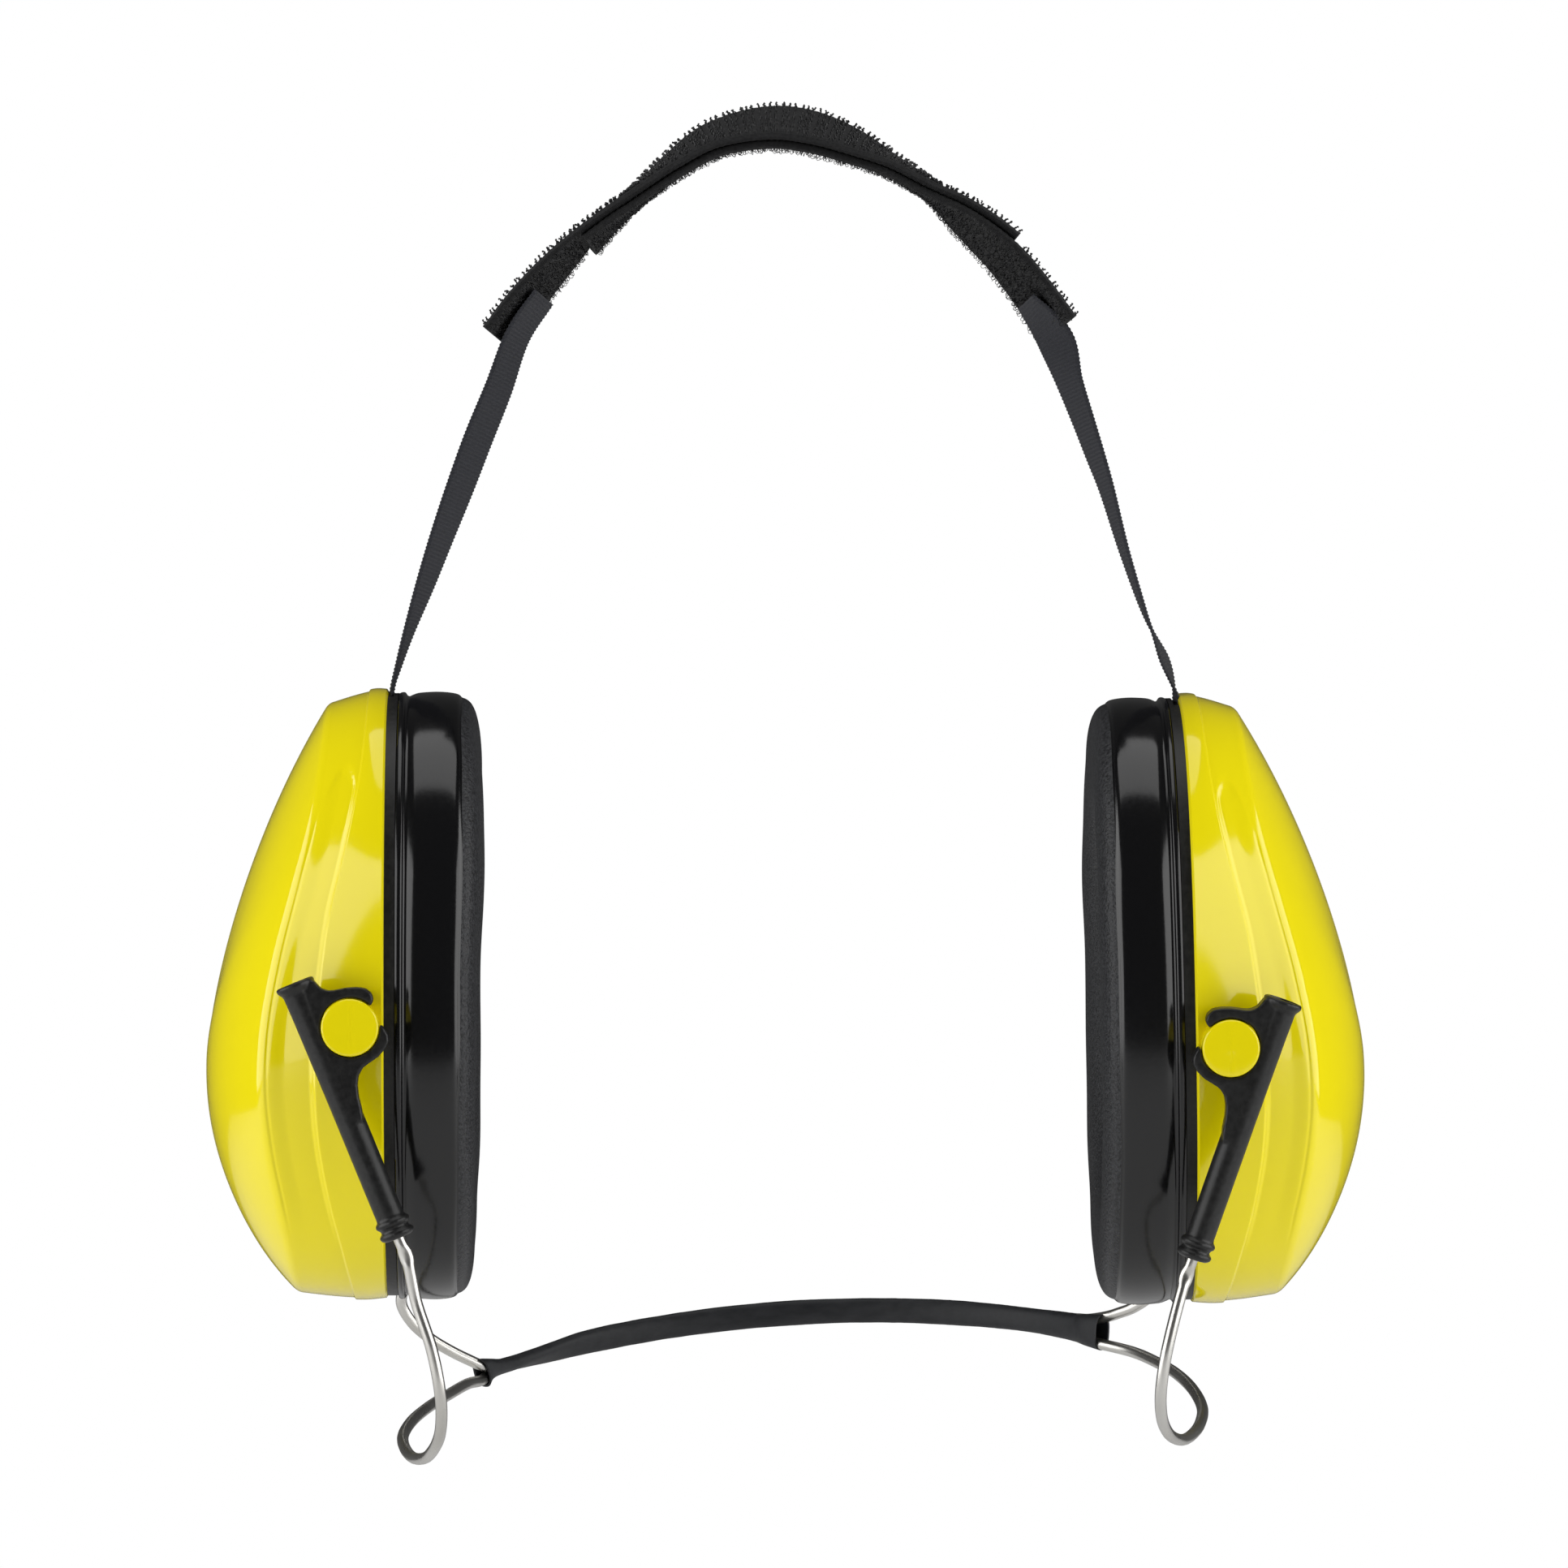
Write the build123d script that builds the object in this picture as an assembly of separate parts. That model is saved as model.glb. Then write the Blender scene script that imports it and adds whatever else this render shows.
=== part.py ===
"""Neckband ear muff with a hook-and-loop head strap.

Frame: millimetres, +Z up, origin at the middle of the wearer's head on the line through
both ears, the wearer facing -Y, so +X is the wearer's left and +Y is the nape of the neck.
"""
from build123d import *
from math import cos, pi, radians, sin
import os

os.makedirs("parts", exist_ok=True)

# ---- cups -----------------------------------------------------------------------------
CUP_HALF_HEIGHT = 52.6
CUP_HALF_WIDTH = 41.0           # front to back
OUTLINE_POWER = 2.3             # 2 is an ellipse, more is squarer
OUTLINE_POINTS = 16
WALL = 2.2
RIM_X = 68.4                    # plane of the cup's open rim, from the middle of the head
# the dome: distance from the middle of the head, lowest and highest Z, half width
DOME = [
    (RIM_X, -CUP_HALF_HEIGHT, CUP_HALF_HEIGHT, CUP_HALF_WIDTH),
    (73.0, -52.2, 51.2, 40.8),
    (78.0, -51.0, 48.0, 39.6),
    (83.0, -49.6, 40.2, 36.6),
    (88.0, -45.2, 30.2, 32.0),
    (93.0, -38.2, 17.4, 25.6),
    (97.0, -29.4, 3.4, 16.4),
    (98.9, -19.4, -7.0, 6.2),
]

# ---- pegs, and the arms that turn on them ---------------------------------------------
PEG_X = 73.5
PEG_Z = -4.5
PEG_RADIUS = 4.8
PEG_ROOT_Y = 39.4
PEG_TIP_Y = 47.0
ARM_Y = 44.0                    # the plane of the arm's tube
ARM_HALF_THICK = 2.5            # of the ring and web round the peg
TUBE_OFFSET = 5.8               # from the peg's axis to the tube's axis
TUBE_RADIUS = 2.4
TUBE_TOP = 10.4                 # along the tube, from the point beside the peg
TUBE_FOOT = -35.5
FLANGE_RADIUS = 3.2
FLANGE_THICK = 1.3
COLLAR_RADIUS = 2.9
COLLAR_THICK = 1.2
COLLAR_GAP = 0.8
RING_RADIUS = 6.5
FIT_GAP = 0.08                  # radial running fit of peg in ring and wire in tube
RING_GAP_FROM, RING_GAP_TO = -14.0, 61.0

# ---- sealing cushion, its plate and the foam liner ------------------------------------
PLATE_X0, PLATE_X1 = 66.3, 68.2
PLATE_INSET = 1.0
SPIGOT_END_X = 70.4
SPIGOT_WALL = 1.6
SPIGOT_GAP = 0.25
CUSHION_X0, CUSHION_X1 = 53.0, 66.2
CUSHION_INSET = 0.9
COVER_THICK = 0.8
EAR_HALF_WIDTH, EAR_HALF_HEIGHT = 18.5, 29.0
CUSHION_ROUND = 4.6
LINER_X0, LINER_X1 = 73.4, 81.0
LINER_HALF_WIDTH, LINER_HALF_HEIGHT, LINER_Z = 31.0, 39.0, -3.6

# ---- head strap -----------------------------------------------------------------------
RIBBON_WIDTH = 15.5
RIBBON_THICK = 0.6
RIBBON_X = 67.7                 # middle of the ribbon where it enters the cup
RIBBON_END_Z = 44.9
SLOT_HALF_WIDTH = 8.4
SLOT_X0, SLOT_X1 = 67.1, 72.1
SLOT_Z0, SLOT_Z1 = 40.4, 53.0
ANCHOR_SIZE = (3.4, 15.0, 3.2)
ANCHOR_X, ANCHOR_Z = 69.6, 43.2
STRIP_WIDTH = 24.0
STRIP_THICK = 1.7
STRAP_CENTRE_Z = 100.0
# corners of the line between the two strips, X and Z, from the wearer's right to the left
STRAP_LINE = [(-49.0, 112.6), (-38.4, 128.0), (-10.0, 150.4), (13.0, 149.0), (39.2, 129.8), (49.6, 112.0)]
STRAP_BENDS = [22.0, 26.0, 26.0, 22.0]
STRIP_GAP = 0.35
FREE_END_AT = 0.94              # of the run that each strip's free end stops on
RIBBON_LAP = 8.5                # how far a ribbon reaches along the strip it is sewn under
RIBBON_STUB = 1.5               # of ribbon past the strip's end, before it turns down
RIBBON_BENDS = [1.5, 3.0]
SEWN_GAP = 0.15

# ---- neckband -------------------------------------------------------------------------
WIRE_RADIUS = 1.0
NECK_CENTRE_Y = 35.8
NECK_RADIUS = 59.2
NECK_FROM, NECK_TO = 156.0, 24.0        # degrees round the neck, from right to left
NECK_TURNS = 4
NECK_MID_Z, NECK_LEAN, NECK_DROP = -60.6, 0.0674, -0.00154
SLEEVE_HEIGHT, SLEEVE_DEPTH = 4.9, 2.9
SLEEVE_BORE_HEIGHT, SLEEVE_BORE_DEPTH = 4.3, 2.3
CORE_RISE = 1.02                # of each wire's axis above or below the sleeve's middle
FLEX_GAP = 0.5                  # from the flexing line to the sleeve's mouth and to the wire
WIRE_TOP = 7.0                  # along the arm's tube
WIRE_KNEE = -44.0
STOP_FROM, STOP_LENGTH = -40.6, 3.2
STOP_WIDTH, STOP_THICK = 2.9, 1.5

# corners of each bare wire between the end of its straight stretch and the sleeve
FRONT_CORNERS = {
    "right": [(-56.6, -45.4, -66.0), (-57.0, -33.0, -79.0), (-67.6, -6.0, -81.0),
              (-66.6, 18.0, -74.2), (-60.0, 41.0, -71.2)],
    "left": [(62.7, -42.0, -63.0), (62.5, -30.0, -75.5), (74.0, -6.0, -78.0),
             (72.6, 20.0, -68.4), (64.0, 43.0, -65.4)],
}
FRONT_BENDS = [30.0, 16.0, 14.0, 13.0, 26.0, 50.0]
REAR_CORNERS = {
    "right": [(-67.0, 49.0, -55.5), (-62.6, 51.5, -64.2)],
    "left": [(67.4, 50.0, -52.5), (63.5, 52.0, -58.3)],
}
REAR_BENDS = [8.0, 6.5, 8.0]

# ---- how each side sits when nobody wears it: shift, turns about X, Y and Z, arm's lean --
POSTURE = {
    "right": {"shift": (0.0, 0.0, 0.0), "turn": (0.0, 0.0, 1.2), "lean": 22.3},
    "left": {"shift": (0.0, 0.0, -2.4), "turn": (3.5, -1.3, 0.6), "lean": 20.5},
}
SIDES = ["right", "left"]


def side_location(side):
    """The small shift and turn that a whole side has."""
    posture = POSTURE[side]
    return Pos(*posture["shift"]) * Rot(*posture["turn"])


def on_side(side, shape):
    """A shape drawn for the +X side, put on its own side of the head."""
    handed = mirror(shape, about=Plane.YZ) if side == "right" else shape
    return side_location(side) * handed


def point_on_side(side, x, y, z):
    """A point drawn for the +X side, put on its own side of the head."""
    handed = -x if side == "right" else x
    return (side_location(side) * Pos(handed, y, z)).position


def cross_plane(x, z=0.0):
    """A plane square to X, whose own X runs along Y and own Y along Z."""
    return Plane(origin=(x, 0, z), x_dir=(0, 1, 0), z_dir=(1, 0, 0))


def egg(half_width, half_height, x, z=0.0):
    """The rounded outline of a cup, as a face square to X."""
    power = 2 / OUTLINE_POWER
    points = []
    for step in range(OUTLINE_POINTS):
        angle = 2 * pi * step / OUTLINE_POINTS
        c, s = cos(angle), sin(angle)
        across = half_width * abs(c) ** power * (1 if c > 0 else -1)
        up = half_height * abs(s) ** power * (1 if s > 0 else -1)
        points.append((across, up))
    return cross_plane(x, z) * make_face(Spline(*points, periodic=True))


def slab(x0, x1, half_width, half_height, z=0.0):
    """A straight slab with a cup's outline."""
    return extrude(egg(half_width, half_height, x0, z), x1 - x0)


# ---- cup ------------------------------------------------------------------------------
def dome(shrink):
    """The cup's outside, or its inside when shrunk by the wall."""
    sections = []
    for x, low, high, half_width in DOME:
        half_height = (high - low) / 2
        back = shrink if x > RIM_X else 0.0
        sections.append(
            egg(max(half_width - shrink, 1.5), max(half_height - shrink, 1.5), x - back, (high + low) / 2)
        )
    return loft(sections)


def peg(sign):
    """A round peg on the cup's front or back wall."""
    length = PEG_TIP_Y - PEG_ROOT_Y
    middle = sign * (PEG_ROOT_Y + PEG_TIP_Y) / 2
    return Pos(PEG_X, middle, PEG_Z) * Rot(90, 0, 0) * Cylinder(PEG_RADIUS, length)


def cup_shell():
    """One moulding: the domed shell and its two pegs."""
    return dome(0.0) - dome(WALL) + peg(-1) + peg(1)


def slot_block():
    """The space at the top of the plate that the ribbon comes through."""
    size = (SLOT_X1 - SLOT_X0, 2 * SLOT_HALF_WIDTH, SLOT_Z1 - SLOT_Z0)
    return Pos((SLOT_X0 + SLOT_X1) / 2, 0, (SLOT_Z0 + SLOT_Z1) / 2) * Box(*size)


def cushion_plate():
    """The plate that the cushion is welded to, with the spigot that snaps into the cup."""
    half_width, half_height = CUP_HALF_WIDTH - PLATE_INSET, CUP_HALF_HEIGHT - PLATE_INSET
    opening = slab(PLATE_X0 - 1, SPIGOT_END_X + 1, EAR_HALF_WIDTH + 2, EAR_HALF_HEIGHT + 2)
    face = slab(PLATE_X0, PLATE_X1, half_width, half_height) - opening
    reach = WALL + SPIGOT_GAP + 1.0
    outside = slab(PLATE_X1, SPIGOT_END_X, CUP_HALF_WIDTH - reach, CUP_HALF_HEIGHT - reach)
    reach += SPIGOT_WALL
    inside = slab(PLATE_X1, SPIGOT_END_X, CUP_HALF_WIDTH - reach, CUP_HALF_HEIGHT - reach)
    return face + (outside - inside) - slot_block()


def cushion_ring(inset):
    """The cushion's ring, drawn in from its own surface by inset."""
    ring = slab(
        CUSHION_X0 + inset,
        CUSHION_X1 - inset,
        CUP_HALF_WIDTH - CUSHION_INSET - inset,
        CUP_HALF_HEIGHT - CUSHION_INSET - inset,
    )
    ring -= slab(CUSHION_X0 - 1, CUSHION_X1 + 1, EAR_HALF_WIDTH + inset, EAR_HALF_HEIGHT + inset)
    head_side = ring.edges().group_by(Axis.X)[0]
    return fillet(head_side, CUSHION_ROUND - inset)


def cushion_cover():
    """The welded vinyl skin of the cushion."""
    return cushion_ring(0.0) - cushion_ring(COVER_THICK)


def cushion_foam():
    """The soft ring sealed inside the skin."""
    return cushion_ring(COVER_THICK)


def foam_liner():
    """The sound-absorbing pad in the cup."""
    return slab(LINER_X0, LINER_X1, LINER_HALF_WIDTH, LINER_HALF_HEIGHT, LINER_Z)


def strap_anchor():
    """The bar inside the cup that the ribbon's end is held by."""
    return Pos(ANCHOR_X, 0, ANCHOR_Z) * Box(*ANCHOR_SIZE)


# ---- arms -----------------------------------------------------------------------------
def tube_point(side, along):
    """A point on the axis of the front arm's tube, for the +X side: X and Z."""
    lean = radians(POSTURE[side]["lean"])
    x = PEG_X + TUBE_OFFSET * cos(lean) + along * sin(lean)
    z = PEG_Z - TUBE_OFFSET * sin(lean) + along * cos(lean)
    return x, z


def tube_piece(side, radius, start, end):
    """A round piece on the tube's axis."""
    x, z = tube_point(side, (start + end) / 2)
    return Pos(x, -ARM_Y, z) * Rot(0, POSTURE[side]["lean"], 0) * Cylinder(radius, end - start)


def arm_plate(points):
    """A flat piece of the arm with the given corners, X and Z."""
    plane = Plane(origin=(0, -ARM_Y, 0), x_dir=(1, 0, 0), z_dir=(0, -1, 0))
    face = make_face(Polyline(*points, close=True))
    return extrude(plane * face, ARM_HALF_THICK, both=True)


def peg_drum(radius):
    """A drum round the peg, as thick as the arm."""
    return Pos(PEG_X, -ARM_Y, PEG_Z) * Rot(90, 0, 0) * Cylinder(radius, 2 * ARM_HALF_THICK)


def ring_direction(degrees, radius):
    """A point round the peg, counted from straight inward, upwards: X and Z."""
    angle = radians(degrees)
    return PEG_X - radius * cos(angle), PEG_Z + radius * sin(angle)


def front_arm(side):
    """The arm that snaps round the front peg and holds the wire's end in its tube."""
    body = tube_piece(side, TUBE_RADIUS, TUBE_FOOT, TUBE_TOP)
    body += tube_piece(side, FLANGE_RADIUS, TUBE_TOP - FLANGE_THICK, TUBE_TOP)
    first = TUBE_FOOT
    for ring in range(2):
        start = first + ring * (COLLAR_THICK + COLLAR_GAP)
        body += tube_piece(side, COLLAR_RADIUS, start, start + COLLAR_THICK)
    body += peg_drum(RING_RADIUS)
    body += arm_plate([ring_direction(-50, RING_RADIUS), ring_direction(-130, RING_RADIUS), tube_point(side, -18)])
    body += arm_plate([ring_direction(75, RING_RADIUS), ring_direction(150, RING_RADIUS), tube_point(side, 8)])
    mouth = [(PEG_X, PEG_Z), ring_direction(RING_GAP_FROM, 14), ring_direction(25, 16), ring_direction(RING_GAP_TO, 14)]
    body -= arm_plate(mouth)
    body -= peg_drum(PEG_RADIUS + FIT_GAP)
    return body - tube_piece(side, WIRE_RADIUS + FIT_GAP, TUBE_FOOT - 1, TUBE_TOP + 1)


def rear_arm(side):
    """The same arm, mirrored, on the rear peg."""
    return mirror(front_arm(side), about=Plane.XZ)


# ---- head strap -----------------------------------------------------------------------
def away(point, distance):
    """A point of the strap's line moved away from the middle of the strap's curve."""
    x, z = point
    reach = Vector(x, 0, z - STRAP_CENTRE_Z)
    moved = reach + reach.normalized() * distance
    return moved.X, STRAP_CENTRE_Z + moved.Z


def free_end(start, corner):
    """Where a strip's free end stops on the run from start to corner."""
    return tuple(a + (b - a) * FREE_END_AT for a, b in zip(start, corner))


def strip(corners, bends, distance):
    """A flat strip of hook-and-loop tape along part of the strap's curve."""
    points = [(x, 0, z) for x, z in (away(p, distance) for p in corners)]
    path = FilletPolyline(*points, radius=bends)
    plane = Plane(origin=points[0], z_dir=path % 0, x_dir=(0, 1, 0))
    return sweep(plane * Rectangle(STRIP_WIDTH, STRIP_THICK), path)


def outer_strip():
    """The strip on top: sewn to the right ribbon, free at its left end."""
    corners = STRAP_LINE[:4] + [free_end(STRAP_LINE[3], STRAP_LINE[4])]
    return strip(corners, STRAP_BENDS[:3], (STRIP_THICK + STRIP_GAP) / 2)


def inner_strip():
    """The strip below: sewn to the left ribbon, free at its right end."""
    corners = [free_end(STRAP_LINE[2], STRAP_LINE[1])] + STRAP_LINE[2:]
    return strip(corners, STRAP_BENDS[1:], -(STRIP_THICK + STRIP_GAP) / 2)


def ribbon(side):
    """A ribbon from under the strip that it is sewn to, down to the bar inside the cup."""
    if side == "right":
        end, nearby, strip_inside = STRAP_LINE[0], STRAP_LINE[1], -STRIP_GAP / 2
    else:
        end, nearby, strip_inside = STRAP_LINE[-1], STRAP_LINE[-2], STRIP_GAP / 2 + STRIP_THICK
    run = Vector(nearby[0] - end[0], 0, nearby[1] - end[1]).normalized()
    inward = Vector(0, 1, 0).cross(run) * (1 if side == "right" else -1)
    foot = Vector(end[0], 0, end[1]) + inward * (strip_inside + SEWN_GAP + RIBBON_THICK / 2)
    lap = foot + run * RIBBON_LAP
    turn = foot - run * RIBBON_STUB
    mouth = point_on_side(side, RIBBON_X, 0, CUP_HALF_HEIGHT)
    tail = point_on_side(side, RIBBON_X, 0, RIBBON_END_Z)
    path = FilletPolyline(lap, turn, mouth, tail, radius=RIBBON_BENDS)
    plane = Plane(origin=lap, z_dir=path % 0, x_dir=(0, 1, 0))
    return sweep(plane * Rectangle(RIBBON_WIDTH, RIBBON_THICK), path)


# ---- neckband -------------------------------------------------------------------------
def neck_height(x):
    """The band's height behind the neck, which leans and droops a little."""
    return NECK_MID_Z + NECK_LEAN * x + NECK_DROP * x * x


def neck_point(degrees, radius=NECK_RADIUS):
    """A point on the band's curve round the neck."""
    angle = radians(degrees)
    x = radius * cos(angle)
    return Vector(x, NECK_CENTRE_Y + radius * sin(angle), neck_height(x))


def neck_path(trim, rise):
    """The band's line from mouth to mouth, shortened at both ends and raised."""
    step = (NECK_TO - NECK_FROM) / NECK_TURNS
    corner_radius = NECK_RADIUS / cos(radians(step / 2))
    corners = [neck_point(NECK_FROM + step * (turn + 0.5), corner_radius) for turn in range(NECK_TURNS)]
    ends = []
    for mouth, corner in ((neck_point(NECK_FROM), corners[0]), (neck_point(NECK_TO), corners[-1])):
        ends.append(mouth + (corner - mouth).normalized() * trim)
    points = [p + Vector(0, 0, rise) for p in [ends[0]] + corners + [ends[1]]]
    return FilletPolyline(*points, radius=NECK_RADIUS * 0.9)


def swept(path, section):
    """A section carried along the neckband."""
    start = path @ 0
    plane = Plane(origin=start, z_dir=path % 0, x_dir=(path % 0).cross(Vector(0, 0, 1)))
    return sweep(plane * section, path)


def neckband_sleeve():
    """The flat black tube that holds both wires behind the neck."""
    outside = swept(neck_path(FLEX_GAP, 0.0), SlotOverall(SLEEVE_HEIGHT, SLEEVE_DEPTH, rotation=90))
    bore = SlotOverall(SLEEVE_BORE_HEIGHT, SLEEVE_BORE_DEPTH, rotation=90)
    return outside - swept(neck_path(FLEX_GAP, 0.0), bore)


def core_wire(rise):
    """A wire's stretch inside the sleeve."""
    return swept(neck_path(FLEX_GAP + 1.0, rise), Circle(WIRE_RADIUS))


def wire_end(side, sign):
    """The straight end of a wire: its tip in the arm's tube, and where it starts to bend."""
    ends = []
    for along in (WIRE_TOP, WIRE_KNEE):
        x, z = tube_point(side, along)
        ends.append(point_on_side(side, x, sign * ARM_Y, z))
    return ends


def stop(side, sign):
    """The pressed flat on a wire that the arm's foot comes down to."""
    x, z = tube_point(side, STOP_FROM + STOP_LENGTH / 2)
    flat = Pos(x, sign * ARM_Y, z) * Rot(0, POSTURE[side]["lean"], 0)
    return on_side(side, flat * Box(STOP_WIDTH, STOP_THICK, STOP_LENGTH))


def bare_wire(side, sign, corners, bends, rise):
    """A wire from its end in the arm, under or behind the cup, to the sleeve's mouth."""
    mouth = neck_point(NECK_FROM if side == "right" else NECK_TO) + Vector(0, 0, rise)
    last = mouth + (Vector(*corners[-1]) - mouth).normalized() * FLEX_GAP
    points = wire_end(side, sign) + [Vector(*c) for c in corners] + [last]
    path = FilletPolyline(*points, radius=bends)
    wire = sweep(Plane(origin=path @ 0, z_dir=path % 0) * Circle(WIRE_RADIUS), path)
    area = pi * WIRE_RADIUS**2
    print(f"{side} {sign}: wire volume over section times length {wire.volume / (area * path.length):.4f}")
    return wire + stop(side, sign)


def build():
    """Every separate piece by name."""
    pieces = {
        "neckband_sleeve": neckband_sleeve(),
        "upper_core_wire": core_wire(CORE_RISE),
        "lower_core_wire": core_wire(-CORE_RISE),
        "outer_strap_strip": outer_strip(),
        "inner_strap_strip": inner_strip(),
    }
    drawn = {
        "cup_shell": cup_shell(),
        "cushion_plate": cushion_plate(),
        "cushion_cover": cushion_cover(),
        "cushion_foam": cushion_foam(),
        "foam_liner": foam_liner(),
        "strap_anchor": strap_anchor(),
    }
    for side in SIDES:
        for name, shape in drawn.items():
            pieces[f"{side}_{name}"] = on_side(side, shape)
        pieces[f"{side}_front_arm"] = on_side(side, front_arm(side))
        pieces[f"{side}_rear_arm"] = on_side(side, rear_arm(side))
        pieces[f"{side}_strap_ribbon"] = ribbon(side)
        pieces[f"{side}_front_wire"] = bare_wire(side, -1, FRONT_CORNERS[side], FRONT_BENDS, -CORE_RISE)
        pieces[f"{side}_rear_wire"] = bare_wire(side, 1, REAR_CORNERS[side], REAR_BENDS, CORE_RISE)
    return pieces


for name, shape in build().items():
    export_step(shape, f"parts/{name}.step")
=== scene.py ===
"""Neckband ear muff: its looks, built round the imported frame.

Lengths are in millimetres until a mesh is made. The wearer faces -Y. Cups, cushions, liners
and arms are drawn for the wearer's left side (+X), and on_side puts them on their own side of
the head. The wires, the sleeve and the strap are drawn in place.
"""

import math

import bmesh
import bpy
import numpy as np
from mathutils import Matrix, Vector


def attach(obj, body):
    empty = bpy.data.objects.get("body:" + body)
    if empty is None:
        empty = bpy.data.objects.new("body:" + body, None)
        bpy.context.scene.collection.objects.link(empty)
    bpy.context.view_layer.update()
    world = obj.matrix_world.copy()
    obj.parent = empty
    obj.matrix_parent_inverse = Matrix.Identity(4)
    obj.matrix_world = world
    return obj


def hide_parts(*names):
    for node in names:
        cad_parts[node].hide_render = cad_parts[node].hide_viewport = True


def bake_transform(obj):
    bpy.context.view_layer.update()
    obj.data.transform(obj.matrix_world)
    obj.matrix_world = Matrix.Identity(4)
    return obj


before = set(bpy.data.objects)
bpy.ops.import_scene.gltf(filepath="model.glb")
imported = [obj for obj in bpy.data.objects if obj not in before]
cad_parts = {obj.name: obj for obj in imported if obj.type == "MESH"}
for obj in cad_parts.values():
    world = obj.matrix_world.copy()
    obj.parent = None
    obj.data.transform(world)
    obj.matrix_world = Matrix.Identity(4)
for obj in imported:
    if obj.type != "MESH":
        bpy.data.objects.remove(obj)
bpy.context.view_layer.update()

MM = 0.001
SIDES = ("right", "left")
# how each side hangs: shift in millimetres, turn about X, Y and Z and the arms' lean in degrees
POSTURE = {
    "right": {"shift": (0.0, 0.0, 0.0), "turn": (0.0, 0.0, 1.2), "lean": 22.3},
    "left": {"shift": (0.0, 0.0, -2.4), "turn": (3.5, -1.3, 0.6), "lean": 20.5},
}


# ---- shared helpers ----
def smooth_step(x):
    """0 below 0, 1 above 1, smooth between."""
    t = np.clip(x, 0.0, 1.0)
    return t * t * (3 - 2 * t)


def table(points, x):
    """A smooth curve through (x, value) points, level beyond its ends."""
    points = sorted(points)
    px = np.array([p[0] for p in points], float)
    py = np.array([p[1] for p in points], float)
    slope = np.gradient(py, px)
    x = np.clip(np.asarray(x, float), px[0], px[-1])
    i = np.clip(np.searchsorted(px, x) - 1, 0, len(px) - 2)
    h = px[i + 1] - px[i]
    t = (x - px[i]) / h
    rise = (1 + 2 * t) * (1 - t) ** 2 * py[i] + t * t * (3 - 2 * t) * py[i + 1]
    return rise + h * (t * (1 - t) ** 2 * slope[i] - t * t * (1 - t) * slope[i + 1])


# which knots each step of a centripetal Catmull-Rom curve blends between
KNOT_SPANS = (((0, 1), (1, 2), (2, 3)), ((0, 2), (1, 3)), ((1, 2),))


def curve_through(points, spacing):
    """Evenly spaced points on a smooth curve through the given ones."""
    p = np.array(points, float)
    p = np.vstack([2 * p[0] - p[1], p, 2 * p[-1] - p[-2]])
    fine = []
    for i in range(1, len(p) - 2):
        steps = max(4, int(np.linalg.norm(p[i + 1] - p[i]) / spacing * 4))
        gaps = [np.linalg.norm(p[k + 1] - p[k]) ** 0.5 for k in range(i - 1, i + 2)]
        knots = np.cumsum([0] + gaps)
        t = knots[1] + (knots[2] - knots[1]) * np.arange(steps)[:, None] / steps
        level = [p[i - 1], p[i], p[i + 1], p[i + 2]]
        for spans in KNOT_SPANS:
            level = [
                ((knots[b] - t) * level[k] + (t - knots[a]) * level[k + 1]) / (knots[b] - knots[a])
                for k, (a, b) in enumerate(spans)
            ]
        fine.append(level[0])
    fine = np.vstack(fine + [p[-2][None]])
    run = np.r_[0, np.cumsum(np.linalg.norm(np.diff(fine, axis=0), axis=1))]
    count = max(3, int(round(run[-1] / spacing)) + 1)
    at = np.linspace(0, run[-1], count)
    return np.stack([np.interp(at, run, fine[:, k]) for k in range(3)], axis=1)


def running_length(path):
    """How far along its path each point is."""
    return np.r_[0, np.cumsum(np.linalg.norm(np.diff(path, axis=0), axis=1))]


def unit(v):
    """Vectors of length 1."""
    return v / np.maximum(np.linalg.norm(v, axis=-1, keepdims=True), 1e-12)


def path_frames(path, up):
    """At each point of a path: its direction, and two across it, the first close to up."""
    along = unit(np.gradient(path, axis=0))
    up = np.broadcast_to(np.asarray(up, float), path.shape)
    first = unit(up - (up * along).sum(1, keepdims=True) * along)
    return along, first, np.cross(along, first)


def circle_angles(count):
    """Evenly spaced angles once round."""
    return np.arange(count) / count * 2 * math.pi


def free_frames(path, start_up):
    """As path_frames, with the least twist, for round sections."""
    along = unit(np.gradient(path, axis=0))
    first = np.zeros_like(path)
    side = np.array(start_up, float)
    for i, a in enumerate(along):
        side = side - a * side.dot(a)
        side /= np.linalg.norm(side)
        first[i] = side
    return along, first, np.cross(along, first)


def grid_faces(rows, columns, start=0):
    """Faces of a grid of rows by columns, joined round its columns."""
    faces = []
    for r in range(rows - 1):
        for c in range(columns):
            a, b = start + r * columns + c, start + r * columns + (c + 1) % columns
            faces.append((a, b, b + columns, a + columns))
    return faces


def add_fan(verts, faces, row, sides, centre, flip):
    """Closes one row of a grid onto a centre point."""
    verts.append(list(centre))
    for c in range(sides):
        a, b = row * sides + c, row * sides + (c + 1) % sides
        faces.append((b, a, len(verts) - 1) if flip else (a, b, len(verts) - 1))


def swept_tube(rings):
    """A closed tube from rings of points, rows by sides by 3: vertices and faces."""
    rows, sides = rings.shape[:2]
    verts = rings.reshape(-1, 3).tolist()
    faces = [f[::-1] for f in grid_faces(rows, sides)]
    for row, flip in ((0, False), (rows - 1, True)):
        add_fan(verts, faces, row, sides, rings[row].mean(0).tolist(), flip)
    return verts, faces


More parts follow.
